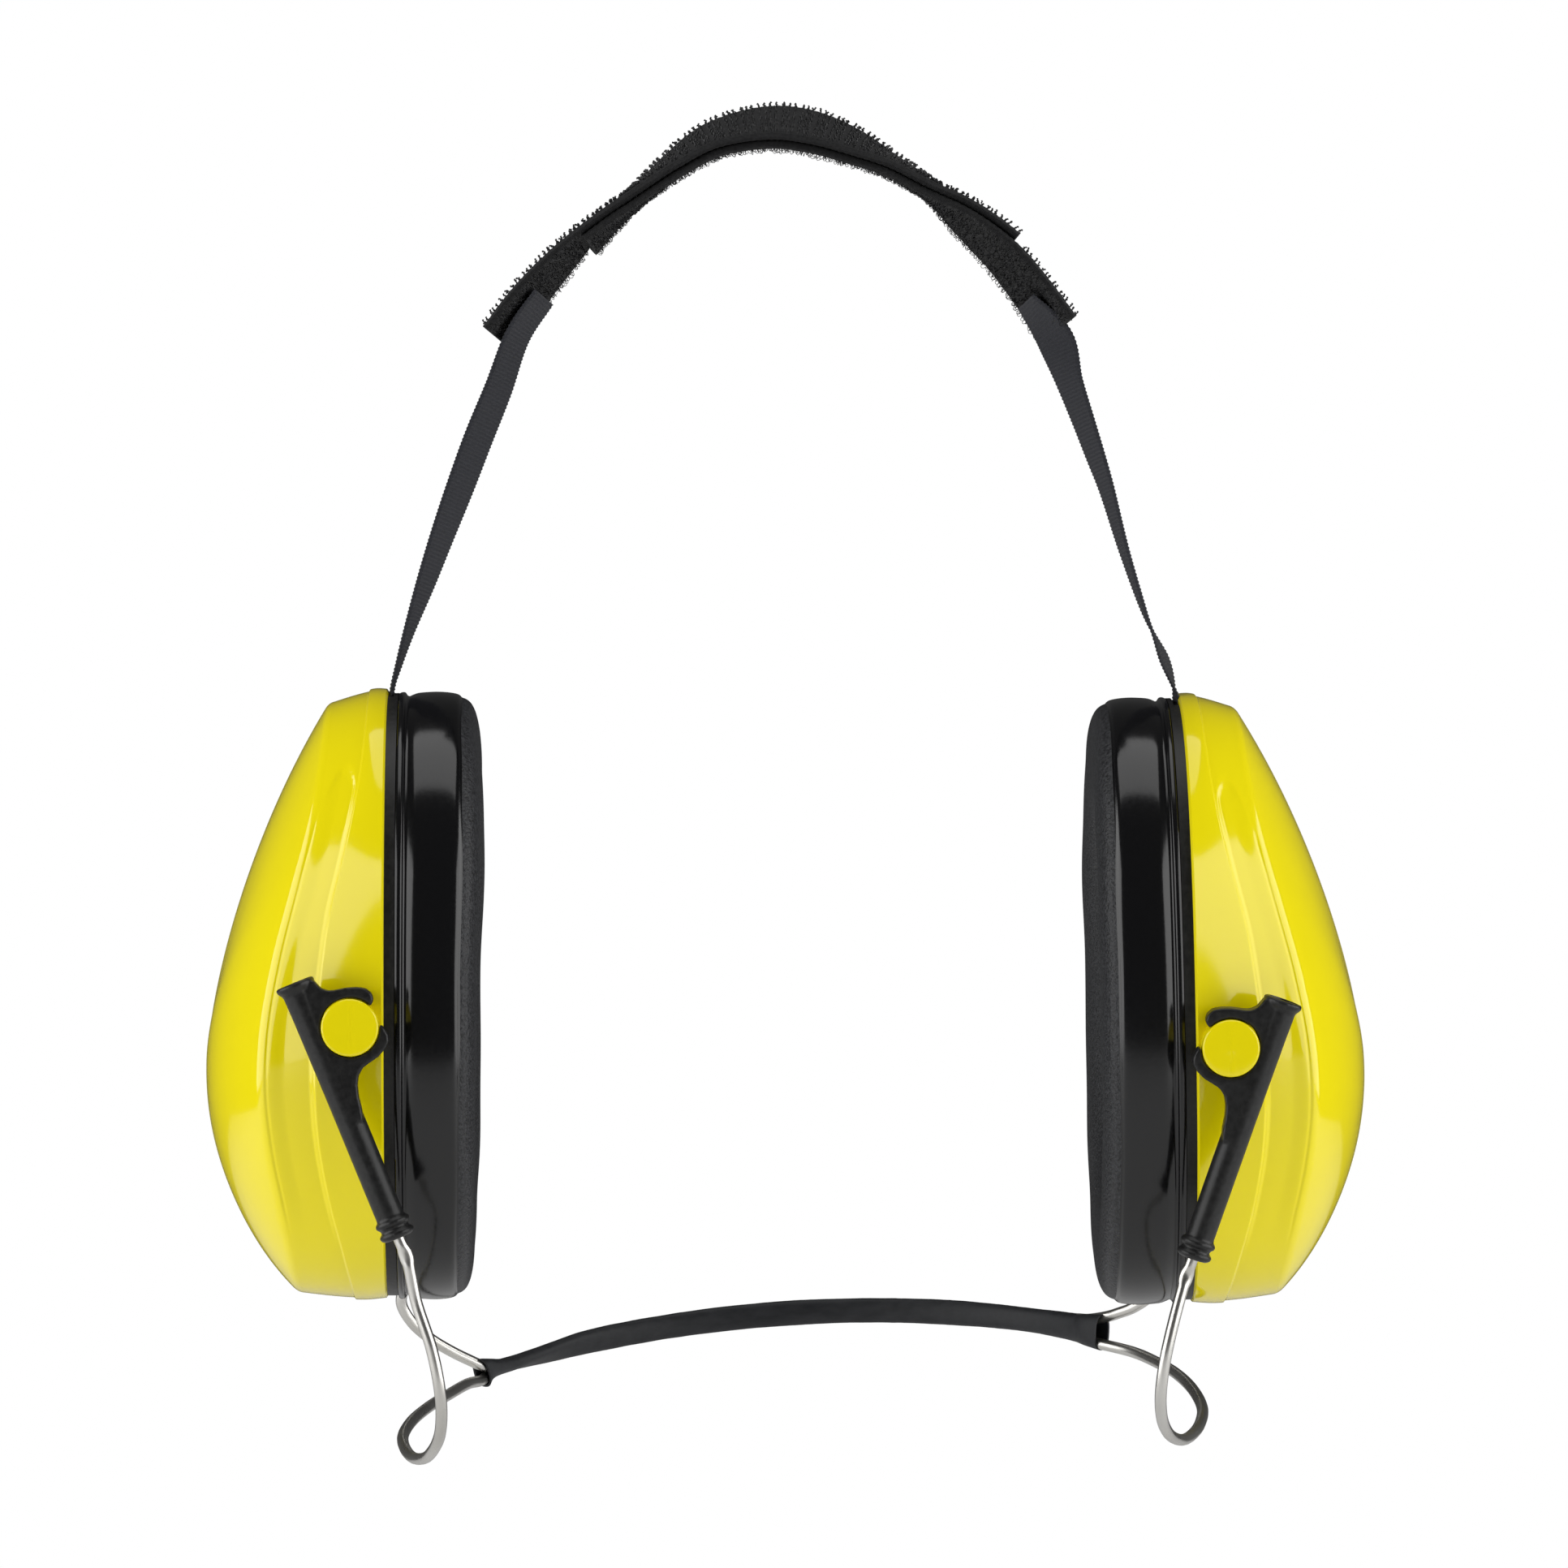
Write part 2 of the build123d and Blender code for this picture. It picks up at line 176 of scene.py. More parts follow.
def side_matrix(side):
    """The mirror, small turn and shift that put a piece drawn for +X on its own side."""
    posture = POSTURE[side]
    turn = Matrix.Identity(4)
    for angle, axis in zip(posture["turn"], "XYZ"):
        turn = turn @ Matrix.Rotation(math.radians(angle), 4, axis)
    handed = Matrix.Diagonal((-1 if side == "right" else 1, 1, 1, 1))
    return Matrix.Translation(posture["shift"]) @ turn @ handed


def on_side(side, points):
    """Points drawn for +X, put on their own side, in millimetres."""
    m = np.array(side_matrix(side))
    points = np.atleast_2d(np.array(points, float))
    return points @ m[:3, :3].T + m[:3, 3]


def finish_piece(name, verts, faces, materials, side=None, smooth_angle=40.0, picks=None):
    """Makes the object in metres. With side, the piece was drawn for +X.

    picks gives each face's material; edges sharper than smooth_angle degrees stay crisp.
    """
    verts = np.array(verts, float)
    if side:
        verts = on_side(side, verts)
        if side == "right":
            faces = [tuple(reversed(f)) for f in faces]
    mesh = bpy.data.meshes.new(name)
    mesh.from_pydata((verts * MM).tolist(), [], [tuple(f) for f in faces])
    for material in materials:
        mesh.materials.append(material)
    mesh.polygons.foreach_set("use_smooth", [True] * len(mesh.polygons))
    if picks is not None:
        mesh.polygons.foreach_set("material_index", picks)
    mesh.validate()
    # every closed shell faces outward
    shells = bmesh.new()
    shells.from_mesh(mesh)
    bmesh.ops.recalc_face_normals(shells, faces=shells.faces)
    shells.to_mesh(mesh)
    shells.free()
    mesh.update()
    mesh.set_sharp_from_angle(angle=math.radians(smooth_angle))
    piece = bpy.data.objects.new(name, mesh)
    bpy.context.scene.collection.objects.link(piece)
    return piece


# ---- materials ----
def new_material(name, colour, roughness, **sockets):
    """A principled material, its node tree and its shader, with plain values on the sockets."""
    material = bpy.data.materials.new(name)
    material.use_nodes = True
    tree = material.node_tree
    shader = tree.nodes["Principled BSDF"]
    shader.inputs["Base Color"].default_value = (*colour, 1.0)
    shader.inputs["Roughness"].default_value = roughness
    for socket, value in sockets.items():
        shader.inputs[socket.replace("_", " ")].default_value = value
    return material, tree, shader


def node(tree, kind, **settings):
    """A node with its settings and input values."""
    made = tree.nodes.new(kind)
    for key, value in settings.items():
        if key in made.inputs:
            made.inputs[key].default_value = value
        else:
            setattr(made, key, value)
    return made


def noise_height(tree, scale, detail, stretch=(1, 1, 1)):
    """Noise in object space, for grain."""
    place = node(tree, "ShaderNodeTexCoord")
    mapping = node(tree, "ShaderNodeMapping")
    mapping.inputs["Scale"].default_value = stretch
    texture = node(tree, "ShaderNodeTexNoise", Scale=scale, Detail=detail)
    tree.links.new(place.outputs["Object"], mapping.inputs["Vector"])
    tree.links.new(mapping.outputs["Vector"], texture.inputs["Vector"])
    return texture.outputs["Fac"]


def add_bump(tree, shader, height, strength, distance):
    """Relief from a texture, its distance in metres."""
    bump = node(tree, "ShaderNodeBump", Strength=strength, Distance=distance)
    tree.links.new(height, bump.inputs["Height"])
    tree.links.new(bump.outputs["Normal"], shader.inputs["Normal"])


def vary_colour(tree, shader, height, low, high):
    """Colour that runs from low to high with a texture."""
    ramp = node(tree, "ShaderNodeValToRGB")
    ramp.color_ramp.elements[0].position = 0.3
    ramp.color_ramp.elements[0].color = (*low, 1)
    ramp.color_ramp.elements[1].position = 0.7
    ramp.color_ramp.elements[1].color = (*high, 1)
    tree.links.new(height, ramp.inputs["Fac"])
    tree.links.new(ramp.outputs["Color"], shader.inputs["Base Color"])


def vary_roughness(tree, shader, height, low, high):
    """Roughness that runs from low to high with a texture."""
    spread = node(tree, "ShaderNodeMapRange")
    spread.inputs["To Min"].default_value = low
    spread.inputs["To Max"].default_value = high
    tree.links.new(height, spread.inputs["Value"])
    tree.links.new(spread.outputs["Result"], shader.inputs["Roughness"])


def grained(name, colour, roughness, grain, colours=None, roughnesses=None, bump=None,
            stretch=(1, 1, 1), **sockets):
    """A material whose colour, roughness and relief follow one noise.

    grain is the noise's scale and detail; bump is its strength and distance.
    """
    material, tree, shader = new_material(name, colour, roughness, **sockets)
    height = noise_height(tree, *grain, stretch)
    if colours:
        vary_colour(tree, shader, height, *colours)
    if roughnesses:
        vary_roughness(tree, shader, height, *roughnesses)
    if bump:
        add_bump(tree, shader, height, *bump)
    return material


def yellow_plastic():
    """Glossy yellow plastic: broad faint changes of colour, and a finer grain."""
    material, tree, shader = new_material("cup_yellow", (0.86, 0.745, 0.003), 0.1, Coat_Weight=0.15,
                                          Coat_Roughness=0.05, Specular_IOR_Level=0.42)
    broad = noise_height(tree, 22.0, 2.0)
    vary_colour(tree, shader, broad, (0.87, 0.735, 0.002), (0.90, 0.765, 0.003))
    fine = noise_height(tree, 900.0, 3.0)
    vary_roughness(tree, shader, fine, 0.07, 0.13)
    add_bump(tree, shader, fine, 0.05, 0.00005)
    return material


def black_plastic(name, shade, roughness):
    """Moulded black plastic with a fine grain."""
    return grained(name, (shade,) * 3, roughness, (1100.0, 4.0),
                   ((shade * 0.7,) * 3, (shade * 1.6,) * 3), (roughness - 0.08, roughness + 0.12),
                   (0.35, 0.0001), Specular_IOR_Level=0.36)


def open_foam(name, low, high):
    """Open-celled foam: painted shade in the hollow of each cell, up to the foam's own dark grey
    skin.
    """
    material, tree, shader = new_material(name, high, 0.9)
    place = node(tree, "ShaderNodeTexCoord")
    cells = node(tree, "ShaderNodeTexVoronoi", Scale=900.0)
    tree.links.new(place.outputs["Object"], cells.inputs["Vector"])
    # painted shade: the colour darkens to low in each cell's middle, where the bump sinks it into a
    # pore
    vary_colour(tree, shader, cells.outputs["Distance"], low, high)
    add_bump(tree, shader, cells.outputs["Distance"], 0.8, 0.0004)
    return material


YELLOW = yellow_plastic()
VINYL = grained("cushion_vinyl", (0.004, 0.004, 0.0045), 0.2, (1600.0, 4.0), None, (0.10, 0.22),
                (0.08, 0.00004), Specular_IOR_Level=0.5)
FACE = grained("cushion_face", (0.012, 0.012, 0.014), 0.5, (1900.0, 2.0),
               ((0.004, 0.004, 0.005), (0.034, 0.035, 0.039)), (0.38, 0.62), (0.7, 0.0004),
               Specular_IOR_Level=0.45)
ARM_BLACK = black_plastic("arm_black", 0.008, 0.36)
PLATE_BLACK = black_plastic("seal_plate", 0.008, 0.42)
STEEL = grained("wire_steel", (0.62, 0.60, 0.56), 0.2, (90.0, 1.0),
                ((0.55, 0.535, 0.50), (0.66, 0.65, 0.62)), (0.24, 0.32), stretch=(1.0, 1.0, 0.12),
                Metallic=1.0)
SLEEVE = grained("sleeve_black", (0.012, 0.013, 0.015), 0.55, (700.0, 3.0),
                 ((0.008, 0.009, 0.011), (0.019, 0.020, 0.023)), (0.48, 0.66), (0.25, 0.0001),
                 stretch=(0.35, 1.0, 1.0), Specular_IOR_Level=0.36)
RIBBON = grained("ribbon_grosgrain", (0.010, 0.011, 0.017), 0.75, (2600.0, 3.0),
                 ((0.005, 0.006, 0.010), (0.020, 0.021, 0.029)), None, (0.4, 0.0001),
                 Sheen_Weight=0.08, Specular_IOR_Level=0.3)
TAPE = grained("strip_hook_loop", (0.005, 0.005, 0.006), 0.8, (1800.0, 4.0),
               ((0.002, 0.002, 0.0025), (0.011, 0.011, 0.012)), None, (0.6, 0.0002),
               Sheen_Weight=0.04, Specular_IOR_Level=0.3)
HOOK = grained("hook_nylon", (0.005, 0.005, 0.006), 0.4, (1500.0, 2.0), None, (0.32, 0.52),
               Specular_IOR_Level=0.35)
# the first colour is painted shade in the pores, the second the foam's own skin
LINER = open_foam("liner_foam", (0.006, 0.006, 0.007), (0.045, 0.045, 0.05))


# ---- cup ----
OUTLINE_POWER = 2.3  # 2 is an ellipse, more is squarer
RIM_X = 68.4
RIM_HALF = (40.9, 51.8)  # half width, half height
RIM_Z = 0.2
EDGE_HALF = (34.6, 50.5)  # of the edge between the wall and the domed face
EDGE_Z = -0.55
DOME_OUT = {"right": 0.0, "left": -0.4}  # how much deeper than drawn each dome is
APEX = (99.3, -13.3)  # X and Z of the dome's highest point
WALL = 2.2  # thickness
# the edge's distance from the middle of the head, by height
EDGE_X = [(-51, 83.4), (-45, 84.2), (-36, 85.8), (-26, 87.7), (-15, 88.8), (-6, 88.4),
          (7, 86.2), (20, 83.0), (31, 80.4), (40, 79.0), (49.2, 78.3)]
# the same for the outer edge of the raised band round the rim
BAND_X = [(-53, 73.5), (-51, 73.6), (-44, 74.9), (-34, 77.2), (-23, 79.0), (-13, 79.5),
          (7, 78.0), (14, 77.0), (25, 74.5), (37, 72.2), (45, 71.4), (53, 71.1)]
BAND_RISE = 0.34
SCOOP_TOP = 39.5  # where the shallow hollow beside the band ends
SCOOP_DEPTH = 0.35
LINE_DEPTH = 0.16  # of the scored line by the edge
AROUND = 288  # points round a cup or cushion
WALL_ROWS, FACE_ROWS, INNER_ROWS, CORNER_ROWS = 120, 64, 16, 12


def egg_outline(angle, half):
    """Y and Z round a cup's outline, at angles from +Y."""
    power = 2 / OUTLINE_POWER
    c, s = np.cos(angle), np.sin(angle)
    return half[0] * np.sign(c) * np.abs(c) ** power, half[1] * np.sign(s) * np.abs(s) ** power


def cup_surface(side, inset, wall_rows, face_rows):
    """Rows of points from the rim to the dome, drawn in by inset, and the dome's top."""
    # angles are spread so that the outline's points are evenly spaced
    dense = np.linspace(0, 2 * math.pi, 8001)
    y, z = egg_outline(dense, RIM_HALF)
    run = np.r_[0, np.cumsum(np.hypot(np.diff(y), np.diff(z)))]
    angle = np.interp(np.arange(AROUND) / AROUND * run[-1], run, dense)
    rim_y, rim_z = egg_outline(angle, (RIM_HALF[0] - inset, RIM_HALF[1] - inset))
    edge_y, edge_z = egg_outline(angle, (EDGE_HALF[0] - inset, EDGE_HALF[1] - inset))
    rim_z = rim_z + RIM_Z
    edge_z = edge_z + EDGE_Z
    edge_x = table(EDGE_X, edge_z) - inset + DOME_OUT[side]
    rim = np.stack([np.full(AROUND, RIM_X), rim_y, rim_z], 1)
    edge = np.stack([edge_x, edge_y, edge_z], 1)
    up = np.sin(angle)
    apex = np.array([APEX[0] - inset + DOME_OUT[side], 0.0, APEX[1]])

    def face_point(share):
        flat = apex + (edge - apex) * share[:, None]
        # how square the dome is: flatter towards the top, fuller towards the bottom
        bend = 2.15 + smooth_step(up) * (0.2 * share**2 - 0.49)
        bend = bend + smooth_step(-up) * (0.45 * share**3 - 0.1)
        flat[:, 0] = apex[0] - (apex[0] - edge[:, 0]) * share**bend
        return flat

    # the rounding of the edge: soft at the top and bottom, crisp at the front and back
    soft = 1.2 - 0.2 * np.abs(up) ** 5
    wall_length = np.linalg.norm(edge - rim, axis=1)
    face_length = np.linalg.norm(edge - apex, axis=1)
    # half of the wall's rows lie on the raised band, so that its edge is crisp
    band = np.full(AROUND, 0.5)
    for _ in range(4):
        band = (table(BAND_X, rim_z + (edge_z - rim_z) * band) - RIM_X) / (edge_x - RIM_X)
    rows = []
    for w in np.linspace(0, 1, wall_rows):
        share = 2 * w * band if w < 0.5 else band + (2 * w - 1) * (1 - band)
        share = share * (1 - soft / wall_length)
        bulge = 0.5 * math.sin(math.pi * w)
        point = rim + (edge - rim) * share[:, None]
        point[:, 1:] += unit(np.stack([rim_y, rim_z], 1)) * bulge
        rows.append(point)
    before = rows[-1]
    after = face_point(1 - soft / face_length)
    for t in np.linspace(0, 1, CORNER_ROWS)[1:-1]:
        rows.append((1 - t) ** 2 * before + 2 * t * (1 - t) * edge + t * t * after)
    for w in np.linspace(1, 0, face_rows):
        rows.append(face_point((1 - soft / face_length) * w))
    return np.array(rows[:-1]), np.array(rows[-1][0])


def cup_details(side, points):
    """Raises the rim band, sinks the shallow hollow beside it and scores the line by the edge."""
    x, y, z = points[..., 0], points[..., 1], points[..., 2]
    band_x = table(BAND_X, z)
    band = BAND_RISE * (1 - smooth_step((x - band_x) / 0.35))
    edge_x = table(EDGE_X, z) + DOME_OUT[side]
    room = np.maximum(edge_x - band_x, 0.1)
    across = (x - band_x) / room
    arch = SCOOP_TOP - 9.0 * (2 * np.clip(across, 0, 1) - 0.75) ** 2
    inside = smooth_step((x - band_x - 0.35) / 0.8) * smooth_step((edge_x - 1.2 - x) / 3.0)
    scoop = SCOOP_DEPTH * inside * smooth_step((arch - z) / 1.6) * smooth_step((z + 44) / 12)
    line = LINE_DEPTH * np.exp(-(((x - edge_x + 0.9) / 0.22) ** 2))
    line *= smooth_step((31 - z) / 3) * smooth_step((z + 42) / 8)
    line *= smooth_step((np.abs(y) - 14) / 8)
    outward = unit(np.stack([y / RIM_HALF[0] ** 2, z / RIM_HALF[1] ** 2], -1))
    points[..., 1:] += outward * (band - scoop - line)[..., None]
    return points


# root and tip are distances in front of and behind the cup's middle, round is the end's corner
PEG = {"x": 73.5, "z": -4.5, "radius": 4.8, "root": 38.0, "tip": 47.0, "round": 0.45}
PEG_SIDES = 72


def peg_mesh(sign, start):
    """A round peg with a rounded end and the fine line that its mould left."""
    verts = []
    radius, rounding = PEG["radius"], PEG["round"]
    length = PEG["tip"] - PEG["root"]
    flat, wall = radius - rounding, length - rounding
    profile = [(radius, 0.0), (radius, wall)]
    for step in range(1, 7):
        a = step / 6 * math.pi / 2
        profile.append((flat + rounding * math.cos(a), wall + rounding * math.sin(a)))
    for share in (0.8, 0.6, 0.45, 0.3, 0.15):
        profile.append((radius * share, length + 0.12 * (1 - share)))
    for r, along in profile:
        for k in range(PEG_SIDES):
            a = 2 * math.pi * k / PEG_SIDES
            dx = r * math.cos(a)
            line = 0.06 * math.exp(-((dx / 0.14) ** 2)) if along > length - 0.05 else 0.0
            y = sign * (PEG["root"] + along + line)
            verts.append((PEG["x"] + dx, y, PEG["z"] + r * math.sin(a)))
    faces = grid_faces(len(profile), PEG_SIDES, start)
    last = len(verts)
    verts.append((PEG["x"], sign * (PEG["tip"] + 0.18), PEG["z"]))
    verts.append((PEG["x"], sign * PEG["root"], PEG["z"]))
    top = (len(profile) - 1) * PEG_SIDES
    for k in range(PEG_SIDES):
        after = (k + 1) % PEG_SIDES
        faces.append((start + top + k, start + top + after, start + last))
        faces.append((start + after, start + k, start + last + 1))
    if sign > 0:
        faces = [tuple(reversed(f)) for f in faces]
    return verts, faces


def cup_shell(side):
    """The yellow cup: outer and inner surface, rolled rim and pegs."""
    outer, top = cup_surface(side, 0.0, WALL_ROWS, FACE_ROWS)
    outer = cup_details(side, outer)
    inner, inner_top = cup_surface(side, WALL, INNER_ROWS, INNER_ROWS)
    # two rows round the lip, a little proud of it
    rim = [outer[0] * (1 - t) + inner[0] * t for t in (0.2, 0.8)]
    rim = np.array([r - np.array([0.35, 0, 0]) for r in rim])
    layers = np.concatenate([outer[::-1], rim, inner])
    rows = len(layers)
    verts = layers.reshape(-1, 3).tolist()
    faces = grid_faces(rows, AROUND)
    for row, point, flip in ((0, top, True), (rows - 1, inner_top, False)):
        add_fan(verts, faces, row, AROUND, point, flip)
    for sign in (-1, 1):
        more, peg_faces = peg_mesh(sign, len(verts))
        faces += peg_faces
        verts += more
    piece = finish_piece(f"{side}_cup", verts, faces, [YELLOW], side, smooth_angle=50)
    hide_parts(f"{side}_cup_shell")
    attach(piece, f"{side}_cup")


# ---- cushion ----
CUSHION_OUTER = (40.1, 51.8)  # half width, half height
CUSHION_Z = -0.2
CUSHION_EAR = (18.5, 29.0)  # the same for the ear hole
CUSHION_BACK_X = 66.2  # where it meets the seal plate
SEAM_X = 54.6
SECTION_SCALE = 40  # about the section's width in millimetres
# how far each side's face is pressed in, by height
FACE_SUNK = {
    "right": [(-52, 2.0), (-45, 1.9), (-29, 1.5), (-12, 1.2), (4, 1.1), (15, 0.7), (26, 0.4),
              (36, 0.7), (45, 1.1), (52, 1.2)],
    "left": [(-52, 0.5), (-45, 0.6), (-29, 1.0), (-12, 1.1), (4, 1.15), (26, 1.0), (36, 1.3),
             (45, 1.6), (52, 1.9)],
}
# once round the cushion's section: share of the way from the ear hole to the outside, and X
CUSHION_SECTION = [
    (0.998, CUSHION_BACK_X), (1.006, 65.8), (1.006, 65.2), (0.985, 64.8), (0.976, 64.4),
    (0.986, 63.8), (1.0, 62.8), (1.008, 60.8), (1.010, 58.8), (1.004, 56.8), (0.995, 55.6),
    (0.985, 55.05), (0.976, 54.85), (0.966, 54.55), (0.958, 54.0), (0.935, 53.2), (0.89, 52.5),
    (0.80, 51.9), (0.66, 51.6), (0.48, 51.7), (0.30, 52.2), (0.16, 53.3), (0.07, 55.0),
    (0.03, 57.4), (0.01, 60.5), (0.0, 63.5), (0.0, CUSHION_BACK_X),
]


def cushion(side):
    """The ear cushion: glossy side wall, a seam, and the crowned, grained face."""
    section = curve_through([(w * SECTION_SCALE, x, 0) for w, x in CUSHION_SECTION], 0.3)
    share, x = section[:, 0] / SECTION_SCALE, section[:, 1]
    back = np.linspace(share[-1], share[0], 24)[1:-1]
    share = np.r_[share, back]
    x = np.r_[x, np.full(len(back), CUSHION_BACK_X)]
    angle = circle_angles(AROUND)
    outer = np.stack(egg_outline(angle, CUSHION_OUTER), 1)
    ear = np.stack(egg_outline(angle, CUSHION_EAR), 1)
    outer[:, 1] += CUSHION_Z
    flat = ear[None] + (outer - ear)[None] * share[:, None, None]
    # slow waves in the face, as foam under vinyl has
    wave = 0.10 * np.sin(3 * angle + 0.6) + 0.07 * np.sin(7 * angle + 2.0)
    wave = wave + 0.05 * np.sin(13 * angle)
    sunk = table(FACE_SUNK[side], flat[..., 1]) + wave[None]
    # pressing in shortens the whole section, so that the seam stays smooth
    base_x, crown_x = x.max(), x.min()
    depth = base_x - (base_x - x[:, None]) * (1 - sunk / (base_x - crown_x))
    rings = np.concatenate([depth[..., None], flat], axis=2)
    # the section's last row joins its first
    verts = rings.reshape(-1, 3)
    faces = [tuple(i % len(verts) for i in f) for f in grid_faces(len(rings) + 1, AROUND)]
    picks = np.repeat((x < SEAM_X) & (share > 0.1), AROUND).astype(int).tolist()
    piece = finish_piece(f"{side}_cushion", verts, faces, [VINYL, FACE], side, 60, picks)
    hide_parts(f"{side}_cushion_cover", f"{side}_cushion_foam")
    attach(piece, f"{side}_cup")


LINER_HALF, LINER_Z, LINER_SIDES = (31.0, 39.0), -3.6, 96
LINER_FRONT_X, LINER_BACK_X = 73.5, 81.0


def foam_liner(side):
    """The pad of open foam in the bottom of the cup, domed between its cut edges."""
    angle = circle_angles(LINER_SIDES)
    y, z = egg_outline(angle, LINER_HALF)
    back = [(LINER_BACK_X, share) for share in (0.02, 0.5, 0.96)]
    edge = [(80.4, 1.0), (77.0, 1.0), (74.2, 1.0), (LINER_FRONT_X, 0.97)]
    rows = []
    for x, share in back + edge:
        rows.append(np.stack([np.full(LINER_SIDES, x), y * share, z * share + LINER_Z], 1))
    for share in np.linspace(0.9, 0.03, 20):
        ripple = 0.25 * np.sin(5 * angle + 9 * share) * share
        crown = LINER_FRONT_X - 0.5 * (1 - share**2) + ripple
        rows.append(np.stack([crown, y * share, z * share + LINER_Z], 1))
    verts, faces = swept_tube(np.array(rows))
    piece = finish_piece(f"{side}_liner", verts, faces, [LINER], side, 60)
    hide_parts(f"{side}_foam_liner")
    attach(piece, f"{side}_cup")


# ---- arms ----
ARM_Y = 44.0
TUBE_OFFSET = 5.8  # of the tube's axis from the peg's
TUBE_TOP, TUBE_FOOT = 10.4, -35.5  # along the tube, from level with the peg
TUBE_SIDES, BORE_SIDES, BORE_RADIUS = 48, 40, 1.12
OUTLINE_LEAN = 22.8  # the lean at which the outline below was drawn
RING_GAP = 0.12  # between the peg and the ring round it
# outline of the open ring, horn and web, from the peg's middle: inward, up
ARM_OUTLINE = [
    (3.9, 4.7), (3.5, 5.8), (2.55, 6.55), (1.0, 6.75), (-0.8, 6.6), (-2.6, 6.2), (-3.7, 6.1),
    (-4.9, 6.5), (-6.2, 7.9), (-8.6, 5.0), (-0.6, -14.8), (2.4, -15.6), (2.1, -13.4), (1.6, -11.6),
    (1.35, -9.6), (1.5, -8.0), (2.3, -6.6), (3.4, -5.8), (4.8, -4.8), (5.9, -3.5), (6.5, -2.2),
    (6.4, -1.2), (5.9, -0.4), (5.4, 0.3), (4.95, 0.55),
]
ARM_HALF_THICK = 2.3
ARM_VOXEL = 0.00026  # in metres


def tube_point(side, along):
    """A point on the axis of an arm's tube, for +X: X and Z."""
    lean = math.radians(POSTURE[side]["lean"])
    x = PEG["x"] + TUBE_OFFSET * math.cos(lean) + along * math.sin(lean)
    z = PEG["z"] - TUBE_OFFSET * math.sin(lean) + along * math.cos(lean)
    return x, z


def tube_axis(side):
    """The direction up an arm's tube, for +X."""
    lean = math.radians(POSTURE[side]["lean"])
    return math.sin(lean), 0, math.cos(lean)


def turned(profile, sides, origin, axis, cross):
    """A closed solid of revolution: profile is (along, radius) pairs."""
    axis, cross = unit(np.array(axis, float)), unit(np.array(cross, float))
    other = np.cross(axis, cross)
    rings = []
    for along, radius in profile:
        a = circle_angles(sides)
        ring = np.array(origin) + axis * along
        rings.append(ring + radius * (np.cos(a)[:, None] * cross + np.sin(a)[:, None] * other))
    return swept_tube(np.array(rings))


def join(parts):
    """Several closed shells in one list of vertices and faces."""
    verts, faces = [], []
    for more, more_faces in parts:
        start = len(verts)
        verts += [list(v) for v in more]
        faces += [tuple(i + start for i in f) for f in more_faces]
    return verts, faces


def arm_parts(side):
    """The front arm's rough shells for +X, before they are merged and smoothed."""
    axis = tube_axis(side)
    x, z = tube_point(side, 0)
    origin = (x, -ARM_Y, z)
    # the tube, its flange and the two collars at its foot: along, radius
    tube = [(TUBE_FOOT, 2.1), (TUBE_FOOT, 2.4), (-10, 2.45), (4, 2.55), (8.6, 2.65),
            (TUBE_TOP - 0.4, 2.65)]
    parts = [turned(tube, TUBE_SIDES, origin, axis, (0, 1, 0))]
    flange = [(-1.6, 2.7), (-1.0, 3.2), (-0.5, 3.38), (-0.15, 3.3), (0.0, 3.0)]
    top = np.array(origin) + np.array(axis) * TUBE_TOP
    parts.append(turned(flange, TUBE_SIDES, top, axis, (0, 1, 0)))
    for start in (TUBE_FOOT + 0.2, TUBE_FOOT + 2.2):
        ring = [
            (start + 0.6 + 0.6 * math.cos(a), 2.45 + 0.6 * math.sin(a))
            for a in np.linspace(math.pi, 0, 9)
        ]
        parts.append(turned(ring, TUBE_SIDES, origin, axis, (0, 1, 0)))
    # the drawn outline leans with the arm
    turn = math.radians(POSTURE[side]["lean"] - OUTLINE_LEAN)
    inner = [math.radians(a) for a in np.arange(6, 316, 4)]
    hole = PEG["radius"] + RING_GAP
    outline = list(ARM_OUTLINE) + [(hole * math.cos(-a), hole * math.sin(-a)) for a in inner]
    flat = []
    for inward, upward in outline:
        dx = -inward * math.cos(turn) + upward * math.sin(turn)
        dz = upward * math.cos(turn) + inward * math.sin(turn)
        flat.append((PEG["x"] + dx, PEG["z"] + dz))
    count = len(flat)
    verts = [(fx, -ARM_Y - ARM_HALF_THICK, fz) for fx, fz in flat]
    verts += [(fx, -ARM_Y + ARM_HALF_THICK, fz) for fx, fz in flat]
    faces = [tuple(range(count)), tuple(range(2 * count - 1, count - 1, -1))]
    for k in range(count):
        n = (k + 1) % count
        faces.append((k, k + count, n + count, n))
    parts.append((verts, faces))
    return parts


def apply_modifiers(piece):
    """Bakes the modifiers into the piece's mesh."""
    bpy.context.view_layer.update()
    depsgraph = bpy.context.evaluated_depsgraph_get()
    made = bpy.data.meshes.new_from_object(piece.evaluated_get(depsgraph))
    old = piece.data
    piece.modifiers.clear()
    piece.data = made
    bpy.data.meshes.remove(old)


def bore_through(piece, side, sign):
    """Drills the wire's hole down the tube, with a dished mouth at the top."""
    x, z = tube_point(side, 0)
    profile = [(TUBE_FOOT - 1, BORE_RADIUS), (TUBE_TOP - 1.8, BORE_RADIUS),
               (TUBE_TOP - 0.6, 2.3), (TUBE_TOP + 0.4, 2.6)]
    origin = (x, sign * ARM_Y, z)
    verts, faces = turned(profile, BORE_SIDES, origin, tube_axis(side), (0, 1, 0))
    cutter = finish_piece("cutter", verts, faces, [], side)
    cut = piece.modifiers.new("bore", "BOOLEAN")
    cut.object = cutter
    cut.solver = "EXACT"
    apply_modifiers(piece)
    bpy.data.objects.remove(cutter)


